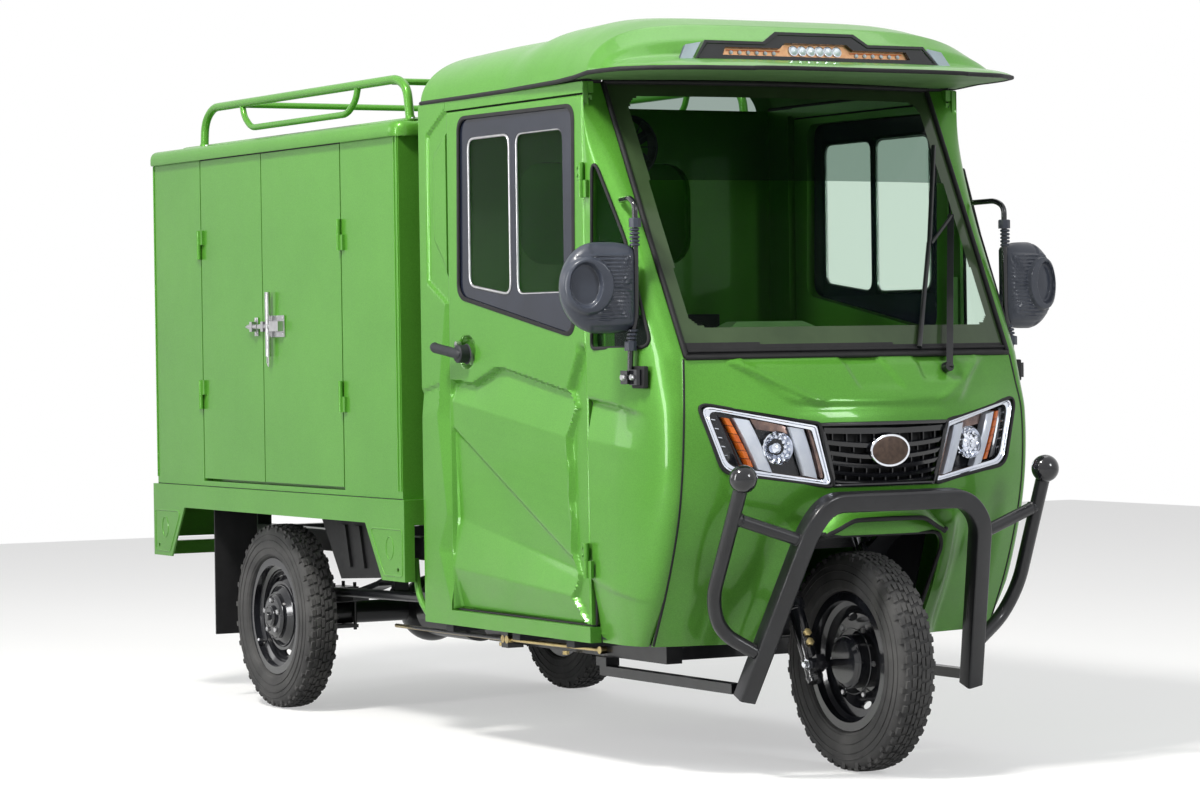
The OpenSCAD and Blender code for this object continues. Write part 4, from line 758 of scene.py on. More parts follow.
def build_windshield():
    """The pane in three parts: clear glass, tinted top band and black surround."""
    s = Shape()
    z0, z1 = 992.0, 1654.0

    def tag_of(z, y):
        if z < 1018 - 6 * y / 424:
            return 3
        side = line_at(z, [(992, 424), (1616, 420)])
        frame_low = 1062
        corner_r = 34
        dy = abs(y) - (side - corner_r)
        dz = max(frame_low + corner_r - z, z - (1617 - corner_r))
        corner = dy > 0 and dz > 0 and dy * dy + dz * dz > corner_r ** 2
        if abs(y) > side or z < frame_low or z > 1617 or corner:
            return 2
        return 1 if z > 1413 else 0
    pts = []
    tags = []
    faces = []
    fine = np.linspace(-0.9993, 0.9993, 181)
    zf = np.linspace(z0 - 3, z1, 133)
    k = len(fine)
    for z in zf:
        for sh in fine:
            pts.append(front_point(z, sh, 2.0))
    for i in range(len(zf) - 1):
        for j in range(k - 1):
            zc = (zf[i] + zf[i + 1]) / 2
            yc = (fine[j] + fine[j + 1]) / 2 * column(zc, 3)
            faces.append((i * k + j, i * k + j + 1, (i + 1) * k + j + 1, (i + 1) * k + j))
            tags.append(tag_of(zc, yc))
    s.add(pts, faces)
    s.tags = tags
    s.made("windshield_pane", [WINDOW, TINT, GREEN_FRIT, SEAL], "chassis", "window", ["windshield"], 60)
    # The rubber round it.
    r = Shape()
    path = [front_point(z0 - 2, sh, -1) for sh in np.linspace(-0.985, 0.985, 40)]
    path += [front_point(z, 0.985, -1) for z in np.linspace(z0 + 4, z1 - 4, 24)]
    path += [front_point(z1, sh, -1) for sh in np.linspace(0.985, -0.985, 40)]
    path += [front_point(z, -0.985, -1) for z in np.linspace(z1 - 4, z0 + 4, 24)]
    r.tube(path, 6.5, 8, closed=True)
    r.tube([front_point(1660, sh, 6) for sh in np.linspace(-0.97, 0.97, 40)], 8.0, 8)
    low = [front_point(z0 + 12, sh, -0.5) for sh in np.linspace(-0.97, 0.97, 40)]
    r.tube(low, 4.0, 8)
    r.made("windshield_rubber", SEAL, "chassis", "seal", ["windshield_seal"], 60)


# Quarter panels.

QUARTER_WINDOW = [(DOOR_X1 + 28, 1014, 14), (2176, 1016, 22), (2060, 1262, 700), (DOOR_X1 + 32, 1468, 10)]


def quarter_height(z, x):
    """Relief of the quarter panel: an undercut with a band below it, and a sill that turns under."""
    top = line_at(x, [(1914, 897), (2060, 880), (2240, 850)])
    foot = line_at(x, [(1914, 796), (2060, 782), (2240, 760)])
    fade = 1 - ease(x, 2070, 2190)
    lip = 9
    h = 0.0
    if z < foot:
        h = -0.012 * min(300.0, foot - z)
    if foot < z < top:
        h = -12.0 * min(1.0, (top - z) / lip) * min(1.0, (z - foot) / max(1.0, top - lip - foot))
    low = line_at(x, [(1914, 466), (2000, 444), (2120, 424)])
    if z < low:
        h -= 15.0 * (low - z) / 130 + 3.0 * min(1.0, (low - z) / 8)
    return 1.4 * h * fade


def build_quarters():
    s = Shape()
    ts = list(np.linspace(0, 90, 37))

    def at(z, k, d):
        if k < 4:
            x = DOOR_X1 + (max(column(z, 1), DOOR_X1 + 2) - DOOR_X1) * k / 4
            p = (x, -CAB_HW + d, z)
            t = 0.0
        else:
            t = ts[k - 4]
            p = corner_point(z, t, d)
        out = quarter_height(z, p[0])
        a = math.radians(t)
        return (p[0] + out * math.sin(a), p[1] - out * math.cos(a), p[2])
    zs = [310 + 5 * i for i in range(124)] + [930 + 15 * i for i in range(49)]
    closed_panel(s, at, zs, list(range(len(ts) + 4)), 14)
    o = both(s).made("quarter_skins", PAINT, "chassis", "body_paint", ["quarter_panels"], smooth=0)
    outline = rounded_outline(QUARTER_WINDOW, 8)
    carve(o, [prism("cut", outline, side * 640, side * 300, "Y") for side in (-1, 1)])
    shade_smooth(o.data, 45)
    # Window rubber, laid on the skin, and the black joint with the front panel.
    r = Shape()
    path = [corner_at(p.x, p.y, -1) for p in outline]
    r.tube(path, 4.5, 8, closed=True)
    r.tube([corner_point(z, 90, 1.5) for z in np.linspace(313, 986, 60)], 3.4, 8)
    both(r).made("quarter_rubbers", SEAL, "chassis", "seal", smooth=60)


def corner_at(x, z, d=0.0):
    """The point of the right side's skin at an X and height."""
    xs, xc = max(column(z, 1), DOOR_X1 + 2), column(z, 2)
    if x <= xs:
        return (x, -CAB_HW + d, z)
    t = math.degrees(math.asin(min(1.0, (x - xs) / max(1.0, xc - xs))))
    return corner_point(z, t, d)


# Doors.

DOOR_X0 = 1187.0
DOOR_BOX = (DOOR_X0 + 5, DOOR_X1 - 5, 353.0, 1620.0)
WINDOW_OUTLINE = [(DOOR_X0 + 60, 1147, 45), (DOOR_X1 - 56, 1040, 45), (DOOR_X1 - 46, 1600, 40),
                  (DOOR_X0 + 72, 1604, 40)]


def door_depth(x, z):
    """How deep the door's pressing lies at a point, in millimetres."""
    ridge = line_at(z, [(354, 1876), (414, 1816), (467, 1842), (519, 1812), (799, 1800), (874, 1838),
                        (916, 1814), (1002, 1866)])
    crease1 = line_at(x, [(1193, 941), (1250, 937), (1313, 930), (1400, 956), (1445, 971), (1490, 969),
                          (1803, 916)])
    crease2 = line_at(x, [(1197, 885), (1800, 801)])
    diag = line_at(x, [(1189, 825), (1822, 503)])
    bright = line_at(x, [(1230, 581), (1832, 477)])
    foot = line_at(x, [(1190, 458), (1815, 419)])
    if z >= crease1:
        d = 0.0
    elif z >= crease1 - 9:
        d = 12.0 * (crease1 - z) / 9
    elif z >= crease2:
        d = 1.5 + 10.5 * (z - crease2) / max(1.0, crease1 - 9 - crease2)
    elif z >= diag:
        d = 1.5 + 0.022 * (crease2 - z)
    else:
        base = 1.5 + 0.022 * (crease2 - diag)
        step = min(1.0, (diag - z) / 12)
        if z >= bright:
            d = base + step * 6.0 + 3.5 * (diag - z) / max(30.0, diag - bright)
        elif z >= foot:
            top = base + min(1.0, (diag - bright) / 12) * 6.0 + 3.5
            d = 1.0 + (top - 1.0) * (z - foot) / max(1.0, bright - foot)
        else:
            d = 1.0 + 13.0 * (foot - z) / 80
    # The channel ahead of the ridge and the step behind the field.
    if x > ridge:
        ahead = x - ridge
        d = max(d * (1 - min(1.0, ahead / 6)), min(12.0, ahead * 0.75) * min(1.0, max(0.25, (1909 - x) / 26)))
    if z < 945:
        d *= ease(x, 1194, 1204)
    # The hand hole behind the handle.
    away = math.hypot((x - 1292) / 1.05, z - 1009)
    d += 10.0 * (1 - ease(away, 34, 43))
    return 1.5 * d * (1 - ease(z, 1002, 1030) * (x > ridge))


def build_door(side):
    name = "right" if side < 0 else "left"
    body = "cab_door_" + name
    s = Shape()
    x0, x1, z0, z1 = DOOR_BOX

    def at(z, x, d):
        lip = min(x - x0, x1 - x, z - z0, z1 - z)
        turn = 3.0 * (1 - ease(lip, 0, 5)) if d == 0 else 0.0
        y = -CAB_HW + (28 if d else door_depth(x, z) + turn)
        return (x, side * -y, z)
    rim = (0, 1.5, 3.5, 6)
    xs = [x0 + g for g in rim] + list(np.linspace(x0 + 9, x1 - 9, 116)) + [x1 - g for g in rim[::-1]]
    zs = [z0 + g for g in rim] + list(np.linspace(z0 + 9, 1060, 150))
    zs += list(np.linspace(1075, z1 - 9, 30)) + [z1 - g for g in rim[::-1]]
    closed_panel(s, at, zs, xs, 1)
    o = s.made("door_skin_" + name, PAINT, body, "body_paint", smooth=0)
    outline = rounded_outline(WINDOW_OUTLINE, 8)
    carve(o, [prism("cut", outline, side * 600, side * 460, "Y")])
    shade_smooth(o.data, 30)
    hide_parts("door_panel_" + name)
    # Hinge knuckles and leaves, moving halves.
    h = Shape()
    for z in HINGE_HEIGHTS:
        h.tube([(DOOR_X1, side * 548, z), (DOOR_X1, side * 548, z + 42)], 7, 20)
        h.box((DOOR_X1 - 26, DOOR_X1), sorted((side * 548, side * 541)), (z, z + 42))
        for dz in (12, 30):
            h.tube([(DOOR_X1 - 17, side * 547, z + dz), (DOOR_X1 - 17, side * 551, z + dz)], 4, 6)
    bevel(h.made("door_hinges_" + name, PAINT, body, "body_paint"), 0.8)
    # The window: rubber with its lip, a dark pane and two clear panes in their rails.
    w = Shape()
    cx = sum(p.x for p in outline) / len(outline)
    cz = sum(p.y for p in outline) / len(outline)

    def ring(g, out):
        rows = []
        for p in outline:
            away = Vector((p.x - cx, p.y - cz))
            q = Vector((cx, cz)) + away * (1 + g / away.length)
            rows.append((q.x, side * (CAB_HW + out), q.y))
        return rows
    w.grid([ring(0, -4), ring(4, 0.5), ring(0, 3.5), ring(-9, 3.5), ring(-11, 0)], 0, close_v=True)
    panes = [[(1310, 1176), (1530, 1150), (1530, 1547), (1310, 1547)],
             [(1560, 1150), (1803, 1150), (1803, 1547), (1560, 1547)]]
    holes = [rounded_outline([(p[0], p[1], 30) for p in part], 6) for part in panes]
    for hole, depth in zip(holes, (-3, -7)):
        w.tube([(p.x, side * (CAB_HW + depth), p.y) for p in hole], 3.6, 8, 1, closed=True)
    w.made("window_frame_" + name, [SEAL, STEEL], body, "trim", smooth=50)
    cover = prism("window_surround_" + name, [(p[0], p[2]) for p in ring(-4, 0)], side * 537, side * 533, "Y")
    cover.data.materials.append(FRIT)
    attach(cover, body)
    carve(cover, [prism("cut", hole, side * 560, side * 500, "Y") for hole in holes])
    g = Shape()
    for part, y in zip(panes, (534.5, 530)):
        p0, p1 = min(p[0] for p in part) - 12, max(p[0] for p in part) + 12
        g.box((p0, p1), sorted((side * y, side * (y - 3))), (1142, 1556))
    g.made("window_panes_" + name, WINDOW, body, "window", ["door_window_" + name], 30)
    # The handle: escutcheon, lever with a thumb rest, and a key barrel.
    k = Shape()
    hx, hz = 1291, 1004
    k.lathe([(0.01, 30), (20, 29), (23, 26), (23, 2), (26, 0)], (hx, side * CAB_HW, hz), (0, side, 0), 28)
    lever = [(hx + 16, side * 562, hz - 2), (hx, side * 566, hz), (hx - 50, side * 575, hz + 9),
             (hx - 96, side * 581, hz + 16), (hx - 106, side * 577, hz + 18)]
    k.tube(bend_path(lever, 20, 4), [9] + [13] * 17, 14)
    k.tube([(hx - 30, side * 556, hz + 24), (hx - 30, side * 543, hz + 24)], 8, 16, 1)
    k.made("door_lever_" + name, [TRIM, STEEL], body, "trim", ["door_handle_" + name], 40)


# Cab sides.

CAB_REAR = 1035.0


def pillar_depth(x, z):
    """The rear pillar's pressings: an upper panel with an inner ridge, and a winding ridge below."""
    d = 0.0
    if z > 1128:
        left = line_at(z, [(1128, 1190), (1189, 1077), (1567, 1079), (1630, 1190)])
        inner = line_at(z, [(1200, 1190), (1242, 1165), (1299, 1112), (1512, 1112), (1570, 1190)])
        d += 7.0 * ease(x, left - 5, left + 7)
        d -= 7.0 * ease(x, inner - 6, inner + 6)
    else:
        ridge = line_at(z, [(310, 1196), (356, 1190), (501, 1119), (591, 1169), (845, 1120), (932, 1136),
                            (1125, 1172)])
        if x > ridge:
            d += min(14.0, 0.32 * (x - ridge))
        step = line_at(x, [(1035, 912), (1136, 930)])
        if z < step:
            d += 7.0 * min(1.0, (step - z) / 8) * max(0.0, 1 - (step - z) / 70) * (x <= ridge)
    return d


def build_cab_sides():
    s = Shape()

    def pillar(z, x, d):
        y = CAB_HW - (30 if d else pillar_depth(x, z))
        return (x, -y, z)
    xs = list(np.linspace(CAB_REAR, DOOR_X0, 48))
    closed_panel(s, pillar, list(np.linspace(310, 1650, 200)), xs, 1)
    s.box((DOOR_X0, DOOR_X1), (-CAB_HW, -510), (310, 348))
    s.box((DOOR_X0, DOOR_X1 - 2), (-CAB_HW, -510), (1625, 1652))
    s.box((DOOR_X1, DOOR_X1 + 40), (-510, -485), (330, 1180))
    for z in HINGE_HEIGHTS:
        s.tube([(DOOR_X1, -548, z - 42), (DOOR_X1, -548, z - 0.4)], 7, 20)
        s.box((DOOR_X1, DOOR_X1 + 22), (-548, -CAB_HW), (z - 42, z - 0.4))
    # The doorway's inner flange and the curved bracket behind the sill.
    s.box((DOOR_X0 - 4, DOOR_X0 - 1), (-512, -496), (340, 1630))
    s.box((DOOR_X1 + 1, DOOR_X1 + 4), (-512, -496), (340, 1180))
    s.tube(bend_path([(960, -528, 470), (972, -528, 372), (1040, -528, 322)], 70, 8), 9, 10)
    both(s).made("cab_side_skins", PAINT, "chassis", "body_paint", ["cab_sides"], smooth=28)
    # Rubber round the doorways.
    r = Shape()
    loop = rounded_outline([(DOOR_X0 + 1, 349.5, 12), (DOOR_X1 - 1, 349.5, 12), (DOOR_X1 - 8, 1623.5, 12),
                            (DOOR_X0 + 1, 1623.5, 12)], 4)
    r.tube([(p.x, -520, p.y) for p in loop], 3.5, 8, closed=True)
    r.tube([(1046, -528, 1654), (1700, -528, 1656), (1880, -526, 1660), (1896, -505, 1662)], 7, 8)
    r.tube([corner_point(1657, t, 4) for t in range(30, 91, 10)], 8, 8)
    both(r).made("doorway_rubbers", SEAL, "chassis", "seal", smooth=60)


# Roof.

ROOF = np.array([
    (1022, 500, 1652, 1772), (1045, 538, 1650, 1792), (1300, 540, 1650, 1800), (1520, 541, 1651, 1802),
    (1620, 545, 1652, 1818), (1800, 550, 1654, 1822), (1900, 556, 1658, 1812), (1980, 564, 1664, 1790),
    (2040, 562, 1664, 1748), (2075, 558, 1664, 1708), (2110, 552, 1664, 1698), (2190, 516, 1662, 1690),
    (2260, 430, 1660, 1679), (2305, 300, 1658, 1666)], float)


def roof_point(x, share, drop=0.0):
    w, edge, crown = (float(np.interp(x, ROOF[:, 0], ROOF[:, c])) for c in (1, 2, 3))
    a = abs(share)
    z = edge + 6 + (crown - edge - 6) * max(0.0, 1 - a ** 5) ** 0.55
    return (x, share * w, max(edge, z - drop) if drop else z)


def build_roof():
    s = Shape()
    shares = np.sin(np.linspace(-math.pi / 2, math.pi / 2, 91))
    xs = sorted({*np.linspace(1022, 1060, 8), *np.linspace(1060, 1960, 40), *np.linspace(1960, 2120, 26),
                 *np.linspace(2120, 2305, 20)})

    def under(x, a):
        # Hollow over the cab, and down to the edge's height in the visor.
        return roof_point(x, a, 14 if x < 1890 else 400)
    s.grid([[roof_point(x, a) for x in xs] for a in shares], 0)
    lining = []
    for a in shares:
        row = [under(x, a) for x in xs]
        lining.append([(p[0], p[1], min(p[2], roof_point(p[0], a)[2] - 3)) for p in row])
    s.grid(lining, 1)
    for a in (-1, 1):
        s.grid([[roof_point(x, a) for x in xs], [roof_point(x, a, 400) for x in xs]], 0)
    for x in (xs[0], xs[-1]):
        s.grid([[roof_point(x, a) for a in shares], [under(x, a) for a in shares]], 0)
    s.made("roof_skin", [PAINT, LIGHTENED_LINING], "chassis", "body_paint", ["roof"], 38)
    # Rubber round the edge.
    e = Shape()
    path = [Vector(roof_point(x, -1)) + Vector((0, 0, -3)) for x in xs[3:]]
    path += [Vector(roof_point(xs[-1], a)) + Vector((2, 0, -3)) for a in shares[1:-1]]
    path += [Vector(roof_point(x, 1)) + Vector((0, 0, -3)) for x in reversed(xs[3:])]
    e.tube(path, 5.5, 8)
    e.made("roof_edge", SEAL, "chassis", "seal")


# Tubes: rack and guard.

def build_rack():
    s = Shape()
    for side in (-1, 1):
        y = side * 515
        s.tube(bend_path([(-420, y, 1617), (-412, y, 1692), (-352, y, 1730), (870, y, 1730), (924, y, 1704),
                          (940, y, 1617)], 46), 12, 16)
        s.tube(bend_path([(-142, y, 1727), (-128, y, 1690), (-80, y, 1656), (560, y, 1656), (612, y, 1690),
                          (628, y, 1727)], 36), 9, 12)
        for x in (-420, 940):
            s.lathe([(22, 0), (22, 3), (14, 5), (12, 12)], (x, y, 1617), (0, 0, 1), 20)
    for x in (-148, 830):
        s.tube([(x, -512, 1726), (x, 512, 1726)], 9, 12)
    s.made("rack_tubes", PAINT, "chassis", "body_paint", ["roof_rack"], 40)


def square_tube(s, points, size, radius, steps=8, tag=0):
    """A square tube with rounded edges along a bent path."""
    path = bend_path(points, radius, steps)
    half = size / 2
    r = size * 0.14
    outline = []
    for cx, cy, a0 in ((half - r, half - r, 0), (-half + r, half - r, 90), (-half + r, -half + r, 180),
                       (half - r, -half + r, 270)):
        for k in range(4):
            a = math.radians(a0 + 30 * k)
            outline.append((cx + r * math.cos(a), cy + r * math.sin(a)))
    rows = []
    n = len(path)
    side = None
    for i, p in enumerate(path):
        along = (path[min(n - 1, i + 1)] - path[max(0, i - 1)]).normalized()
        if side is None:
            side = Vector((1, 0, 0))
        side = (side - along * side.dot(along)).normalized()
        up = along.cross(side)
        rows.append([p + side * a + up * b for a, b in outline])
    s.grid(rows, tag, close_v=True)
    s.add(rows[0], [tuple(range(len(outline)))], tag)
    s.add(rows[-1], [tuple(range(len(outline)))], tag)


def build_guard():
    s = Shape()
    foot = (WHEELBASE - 2, 322, 190)
    knee = (WHEELBASE + 164, 240, 596)
    path = [(foot[0], -foot[1], foot[2]), (knee[0], -knee[1], knee[2]), (WHEELBASE + 168, -190, 650),
            (WHEELBASE + 168, 190, 650), knee, foot]
    square_tube(s, path, 44, 62)
    for side in (-1, 1):
        out = [(WHEELBASE + 44, side * 318, 302), (WHEELBASE + 22, side * 400, 352),
               (WHEELBASE + 44, side * 434, 430), (WHEELBASE + 172, side * 424, 712)]
        s.tube(bend_path(out, 50, 8), 17, 18)
        ball = [(33 * math.sin(a), 33 * math.cos(a)) for a in np.linspace(0.02, math.pi - 0.02, 20)]
        s.lathe(ball, out[3], (0, 0, 1), 36, 1)
        s.tube([(WHEELBASE + 131, side * 427, 622), (WHEELBASE + 152, side * 250, 562)], 15, 16)
        # Weld beads.
        for c, r in (((WHEELBASE + 133, side * 410, 616), 17), ((WHEELBASE + 151, side * 268, 568), 17)):
            s.lathe([(r - 2, -3), (r, 0), (r - 2, 3)], c, Vector((0, side * 0.94, 0.35)), 20)
    s.made("guard_tubes", [FRAME_BLACK, GLOSS_BLACK], "chassis", "frame_paint", ["front_guard"], 40)


# Tyres.

def build_tyre(name, centre, body, cad):
    """A tyre with ribs, tread blocks and sidewall rings."""
    s = Shape()
    half = [(RIM_R - 14, 0), (RIM_R - 14, 30), (RIM_R + 2, 33), (RIM_R + 6, 43), (RIM_R + 9, 44),
            (RIM_R + 11, 47), (RIM_R + 24, 49.4), (RIM_R + 44, 50), (TYRE_R - 34, 48.6),
            (TYRE_R - 28, 47.2), (TYRE_R - 24, 46.8), (TYRE_R - 16, 43), (TYRE_R - 9, 36),
            (TYRE_R - 5.5, 28), (TYRE_R - 5, 14), (TYRE_R - 5, 0)]
    profile = [(r, y) for r, y in half] + [(r, -y) for r, y in reversed(half[1:-1])]
    c = Vector(centre)
    sides = 120
    rows = [[c + Vector((r * math.cos(a), y, r * math.sin(a))) for a in turns(sides)]
            for r, y in profile]
    s.grid(rows, 0, close_u=True, close_v=True)
    # Tread: a zig-zag middle rib, two rows of blocks and shoulder lugs.
    n = 54

    def block(a0, a1, y0, y1, r0, r1, skew=0.0):
        pts = []
        for r, inset in ((r0, 0.0), (r1, 1.0)):
            for a, y in ((a0, y0), (a1, y0), (a1 + skew, y1), (a0 + skew, y1)):
                am = a + (0.004 if a in (a0, a0 + skew) else -0.004) * inset
                pts.append(c + Vector((r * math.cos(am), y, r * math.sin(am))))
        s.add(pts, [(3, 2, 1, 0), (4, 5, 6, 7), (0, 1, 5, 4), (1, 2, 6, 5), (2, 3, 7, 6), (3, 0, 4, 7)])
    step = 2 * math.pi / n
    for k in range(n):
        a = k * step
        for sgn in (-1, 1):
            off = 0 if sgn > 0 else step / 2
            block(a + off, a + off + step * 0.80, sgn * 1.2, sgn * 9.5, TYRE_R - 6, TYRE_R, sgn * 0.012)
            block(a + off + 0.02, a + off + 0.02 + step * 0.72, sgn * 13, sgn * 23.5, TYRE_R - 7,
                  TYRE_R - 0.6, sgn * 0.016)
            block(a + off, a + off + step * 0.62, sgn * 26.5, sgn * 38, TYRE_R - 12, TYRE_R - 3.4, sgn * 0.01)
    for sgn in (-1, 1):
        for k in range(n // 2):
            a = 2 * k * step
            y = sgn * 41
            r = TYRE_R - 14
            block(a, a + step * 0.5, y - sgn * 4, y + sgn * 4.4, r - 8, r + 4)
    # Raised rings on the sidewalls.
    for sgn in (-1, 1):
        for r, w in ((RIM_R + 30, 50.2), (RIM_R + 52, 50.4), (TYRE_R - 30, 48.2)):
            ring = [c + Vector((r * math.cos(a), sgn * w, r * math.sin(a))) for a in turns(90)]
            s.tube(ring, 1.3, 5, closed=True)
    s.made(name, TYRE_RUBBER, body, "tyre", [cad], 40, merge=0.001)


# Mirrors.

ARM_X = WHEELBASE - 127
ARM_Y = -527.0


def mirror_outline_radius(a):
    """Distance from the head's middle to its edge at an angle: round outwards, flat towards the cab."""
    c, s = math.cos(a), math.sin(a)
    if c <= 0:
        return 1 / math.sqrt((c / 92) ** 2 + (s / 107) ** 2)
    return min(88 / c, 1 / (abs(s) ** 3.2 / 107 ** 3.2 + (c / 118) ** 3.2) ** (1 / 3.2))


def mirror_form(y, z, k):
    """How far the head's back stands out: a domed edge, a raised crescent and fine ribs."""
    h = 30.0 * (1 - k ** 5) ** 0.6
    inner = math.hypot((y + 37) / 38, (z - 6) / 52)
    outer = math.hypot((y + 30) / 60, (z - 4) / 66)
    crescent = ease(inner, 0.94, 1.04) * (1 - ease(outer, 0.95, 1.03))
    h += 9.0 * crescent
    h -= 7.0 * (1 - ease(inner, 0.86, 1.0))
    if outer > 1.03 and abs(z) < 78 and k < 0.93:
        h += 1.6 * math.sin(z * 2 * math.pi / 9.0)
    h -= 3.5 * ease(abs(z + 6), 82, 86) * (y > -20)
    return h


def build_mirrors():
    s = Shape()
    turn = Matrix.Rotation(math.radians(-14), 3, "Z")
    centre = Vector((ARM_X, ARM_Y - 6, 1156))

    def place(x, y, z):
        return centre + turn @ Vector((x, y - 84, z))
    angles = turns(120)
    rows = []
    for k in [0.02] + list(np.linspace(0.06, 0.9, 40)) + [0.93, 0.955, 0.975, 0.99, 1.0]:
        row = []
        for a in angles:
            r = mirror_outline_radius(a) * k
            y, z = r * math.cos(a), r * math.sin(a)
            row.append(place(-8 + mirror_form(y, z, k), y, z))
        rows.append(row)
    s.grid(rows, 0, close_v=True)
    s.add(rows[0], [tuple(range(120))])
    rim = []
    for k, x in ((1.0, -8), (1.0, -20), (0.985, -23), (0.955, -23), (0.95, -18)):
        rim.append([place(x, mirror_outline_radius(a) * k * math.cos(a),
                          mirror_outline_radius(a) * k * math.sin(a)) for a in angles])
    s.grid(rim, 0, close_v=True)
    s.add(rim[-1], [tuple(range(120))], 1)
    # Arm with its bend, sleeves, clamps and base.
    arm = [(ARM_X, ARM_Y - 19, 946), (ARM_X, ARM_Y - 16, 1030), (ARM_X, ARM_Y, 1080), (ARM_X, ARM_Y, 1350),
           (ARM_X - 30, ARM_Y + 4, 1366), (ARM_X - 103, ARM_Y + 21, 1364)]
    s.tube(bend_path(arm, 34, 6), 7, 14, 2)
    for z0, z1 in ((1016, 1060), (1252, 1296)):
        for i in range(5):
            z = z0 + (z1 - z0) * i / 5
            y = ARM_Y - 12 * (z < 1100) * (1 - ease(z, 1030, 1080)) - 2
            s.lathe([(9, 0), (12, 1.5), (12, 5.5), (9, 7)], (ARM_X, y, z), (0, 0, 1), 20, 0)
    clamp = [(0.01, 0), (15, 0), (15, 20), (13, 22), (0.01, 22)]
    for p in ((ARM_X, ARM_Y - 17, 1008), (ARM_X, ARM_Y, 1296)):
        s.lathe(clamp, p, (0, 0, 1), 8, 0)
    s.box((ARM_X - 20, ARM_X + 12), (ARM_Y - 34, ARM_Y - 8), (930, 962), 2)
    s.box((ARM_X + 6, ARM_X + 40), (ARM_Y - 25, ARM_Y - 4), (928, 964), 2)
    s.lathe([(0.01, 8), (7, 8), (8, 6), (8, 0)], (ARM_X - 3, ARM_Y - 34, 946), (0, -1, 0), 6, 3)
    s.lathe([(0.01, 8), (6, 8), (7, 6), (7, 0)], (ARM_X + 24, ARM_Y - 25, 946), (0, -1, 0), 6, 3)
    s.lathe([(0.01, 5), (6, 5), (6, -5), (0.01, -5)], (ARM_X - 98, ARM_Y + 20, 1364), (0, 0.3, 1), 6, 3)
    bevel(both(s).made("mirror_heads", [SHELL, MIRROR_GLASS, GLOSS_BLACK, STEEL], "chassis", "trim",
                       ["mirrors"], 38, merge=0.005), 0.8, 1, 60)
    # The black rubber pad behind the base.
    pad = Shape()
    pad.box((ARM_X - 6, ARM_X + 50), (ARM_Y - 12, ARM_Y + 2), (920, 972))
    bevel(both(pad).made("mirror_pads", SEAL, "chassis", "seal"), 3, 2)


# Roof light bar.

def bar_point(x, y, z):
    a = math.radians(15)
    return (WHEELBASE - 150 + x * math.cos(a) - z * math.sin(a), y, 1690 + x * math.sin(a) + z * math.cos(a))


def build_light_bar():
    s = Shape()
    window = [(-268, 16), (268, 16), (258, 36), (105, 36), (88, 50), (-88, 50), (-105, 36), (-258, 36)]
    # Copper board, lamps and the lens.
    s.add([bar_point(-5, y, z) for y, z in window], [tuple(range(8))], 0)
    a = math.radians(15)
    out = (math.cos(a), 0, math.sin(a))
    for k in range(6):
        p = bar_point(-4, -62 + 24.8 * k, 34)
        s.lathe([(11.5, 0), (11.5, 3), (9, 6), (5, 8), (0.01, 8.5)], p, out, 20, 1)
        s.lathe([(13.2, 0), (13.2, 2.5), (11.5, 3)], p, out, 20, 2)
    for side in (-1, 1):
        for k in range(6):
            p = bar_point(-4, side * (118 + 24 * k), 26)
            s.lathe([(5, 0), (5, 2), (3, 4), (0.01, 4.5)], p, out, 12, 1)
        s.add([bar_point(-3.5, side * y, z) for y, z in ((100, 30), (252, 30), (250, 33), (100, 33))],
              [(0, 1, 2, 3)], 3)
    s.made("light_bar_lamps", [COPPER, WHITE_GUIDE, CHROME, AMBER], "chassis", "lens", smooth=40, merge=0.005)
    lens = Shape()
    rows = [[bar_point(x, y * k, 30 + (z - 30) * k) for y, z in window]
            for x, k in ((4, 0.995), (6.5, 0.98), (7, 0.95))]
    lens.grid(rows, close_v=True)
    lens.add(rows[-1], [tuple(range(8))])
    lens.made("light_bar_lens", LENS, "chassis", "lens", smooth=40)
    # The raised border of the bar and the pale panels beside it.
    b = Shape()
    border = [(-338, 6), (338, 6), (306, 45), (146, 45), (106, 71), (-106, 71), (-146, 45), (-306, 45)]
    b.tube([bar_point(6.5, y, z) for y, z in border], 2.2, 6, 0, closed=True)
    panel = ((354, 3), (388, 2), (366, 40), (322, 48))
    for side in (-1, 1):
        b.add([bar_point(3, side * y, z) for y, z in panel], [(0, 1, 2, 3)], 1)
        b.add([bar_point(-6, side * y, z) for y, z in panel], [(3, 2, 1, 0)], 1)
    b.made("light_bar_border", [GLOSS_BLACK, LIGHT_PANEL], "chassis", "gloss_trim", smooth=40)


# Cargo box.

BOX = (-705.0, 955.0, 560.0, 1577.0)


def lid_ring(g, z):
    x0, x1, hw = BOX[0] - 8 + g, BOX[1] + 18 - g, BOX[2] + 15 - g
    rear, front = max(4.0, 30 - g), max(6.0, 52 - g)
    pts = rounded_outline([(x0, -hw, rear), (x1, -hw, front), (x1, hw, front), (x0, hw, rear)], 10)
    return [(p.x, p.y, z) for p in pts]


def build_lid():
    s = Shape()
    z = BOX[3]
    profile = [(6, 0), (1.5, -2), (0, 2), (0, 16), (1.5, 25), (6, 33), (13, 38), (22, 40), (70, 40.5),
               (76, 42), (82, 50), (88, 52), (200, 54)]
    rows = [lid_ring(g, z + h) for g, h in profile]
    s.grid(rows, 0, close_v=True)
    s.add(rows[-1], [tuple(range(len(rows[-1])))])
    under = [lid_ring(g, z + h) for g, h in ((6, 0), (14, 0), (15, 1))]
    s.grid(under, 0, close_v=True)
    s.add(under[-1], [tuple(range(len(under[-1])))])
    for side in (-1, 1):
        for x in (-420, 940):
            for dx in (-1, 1):
                s.lathe([(5.5, 0), (5.5, 4), (0.01, 4.5)], (x + dx * 15, side * 515, z + 43), (0, 0, 1), 6, 1)
    s.made("lid_shell", [PAINT, STEEL], "chassis", "body_paint", ["cargo_lid"], 40)


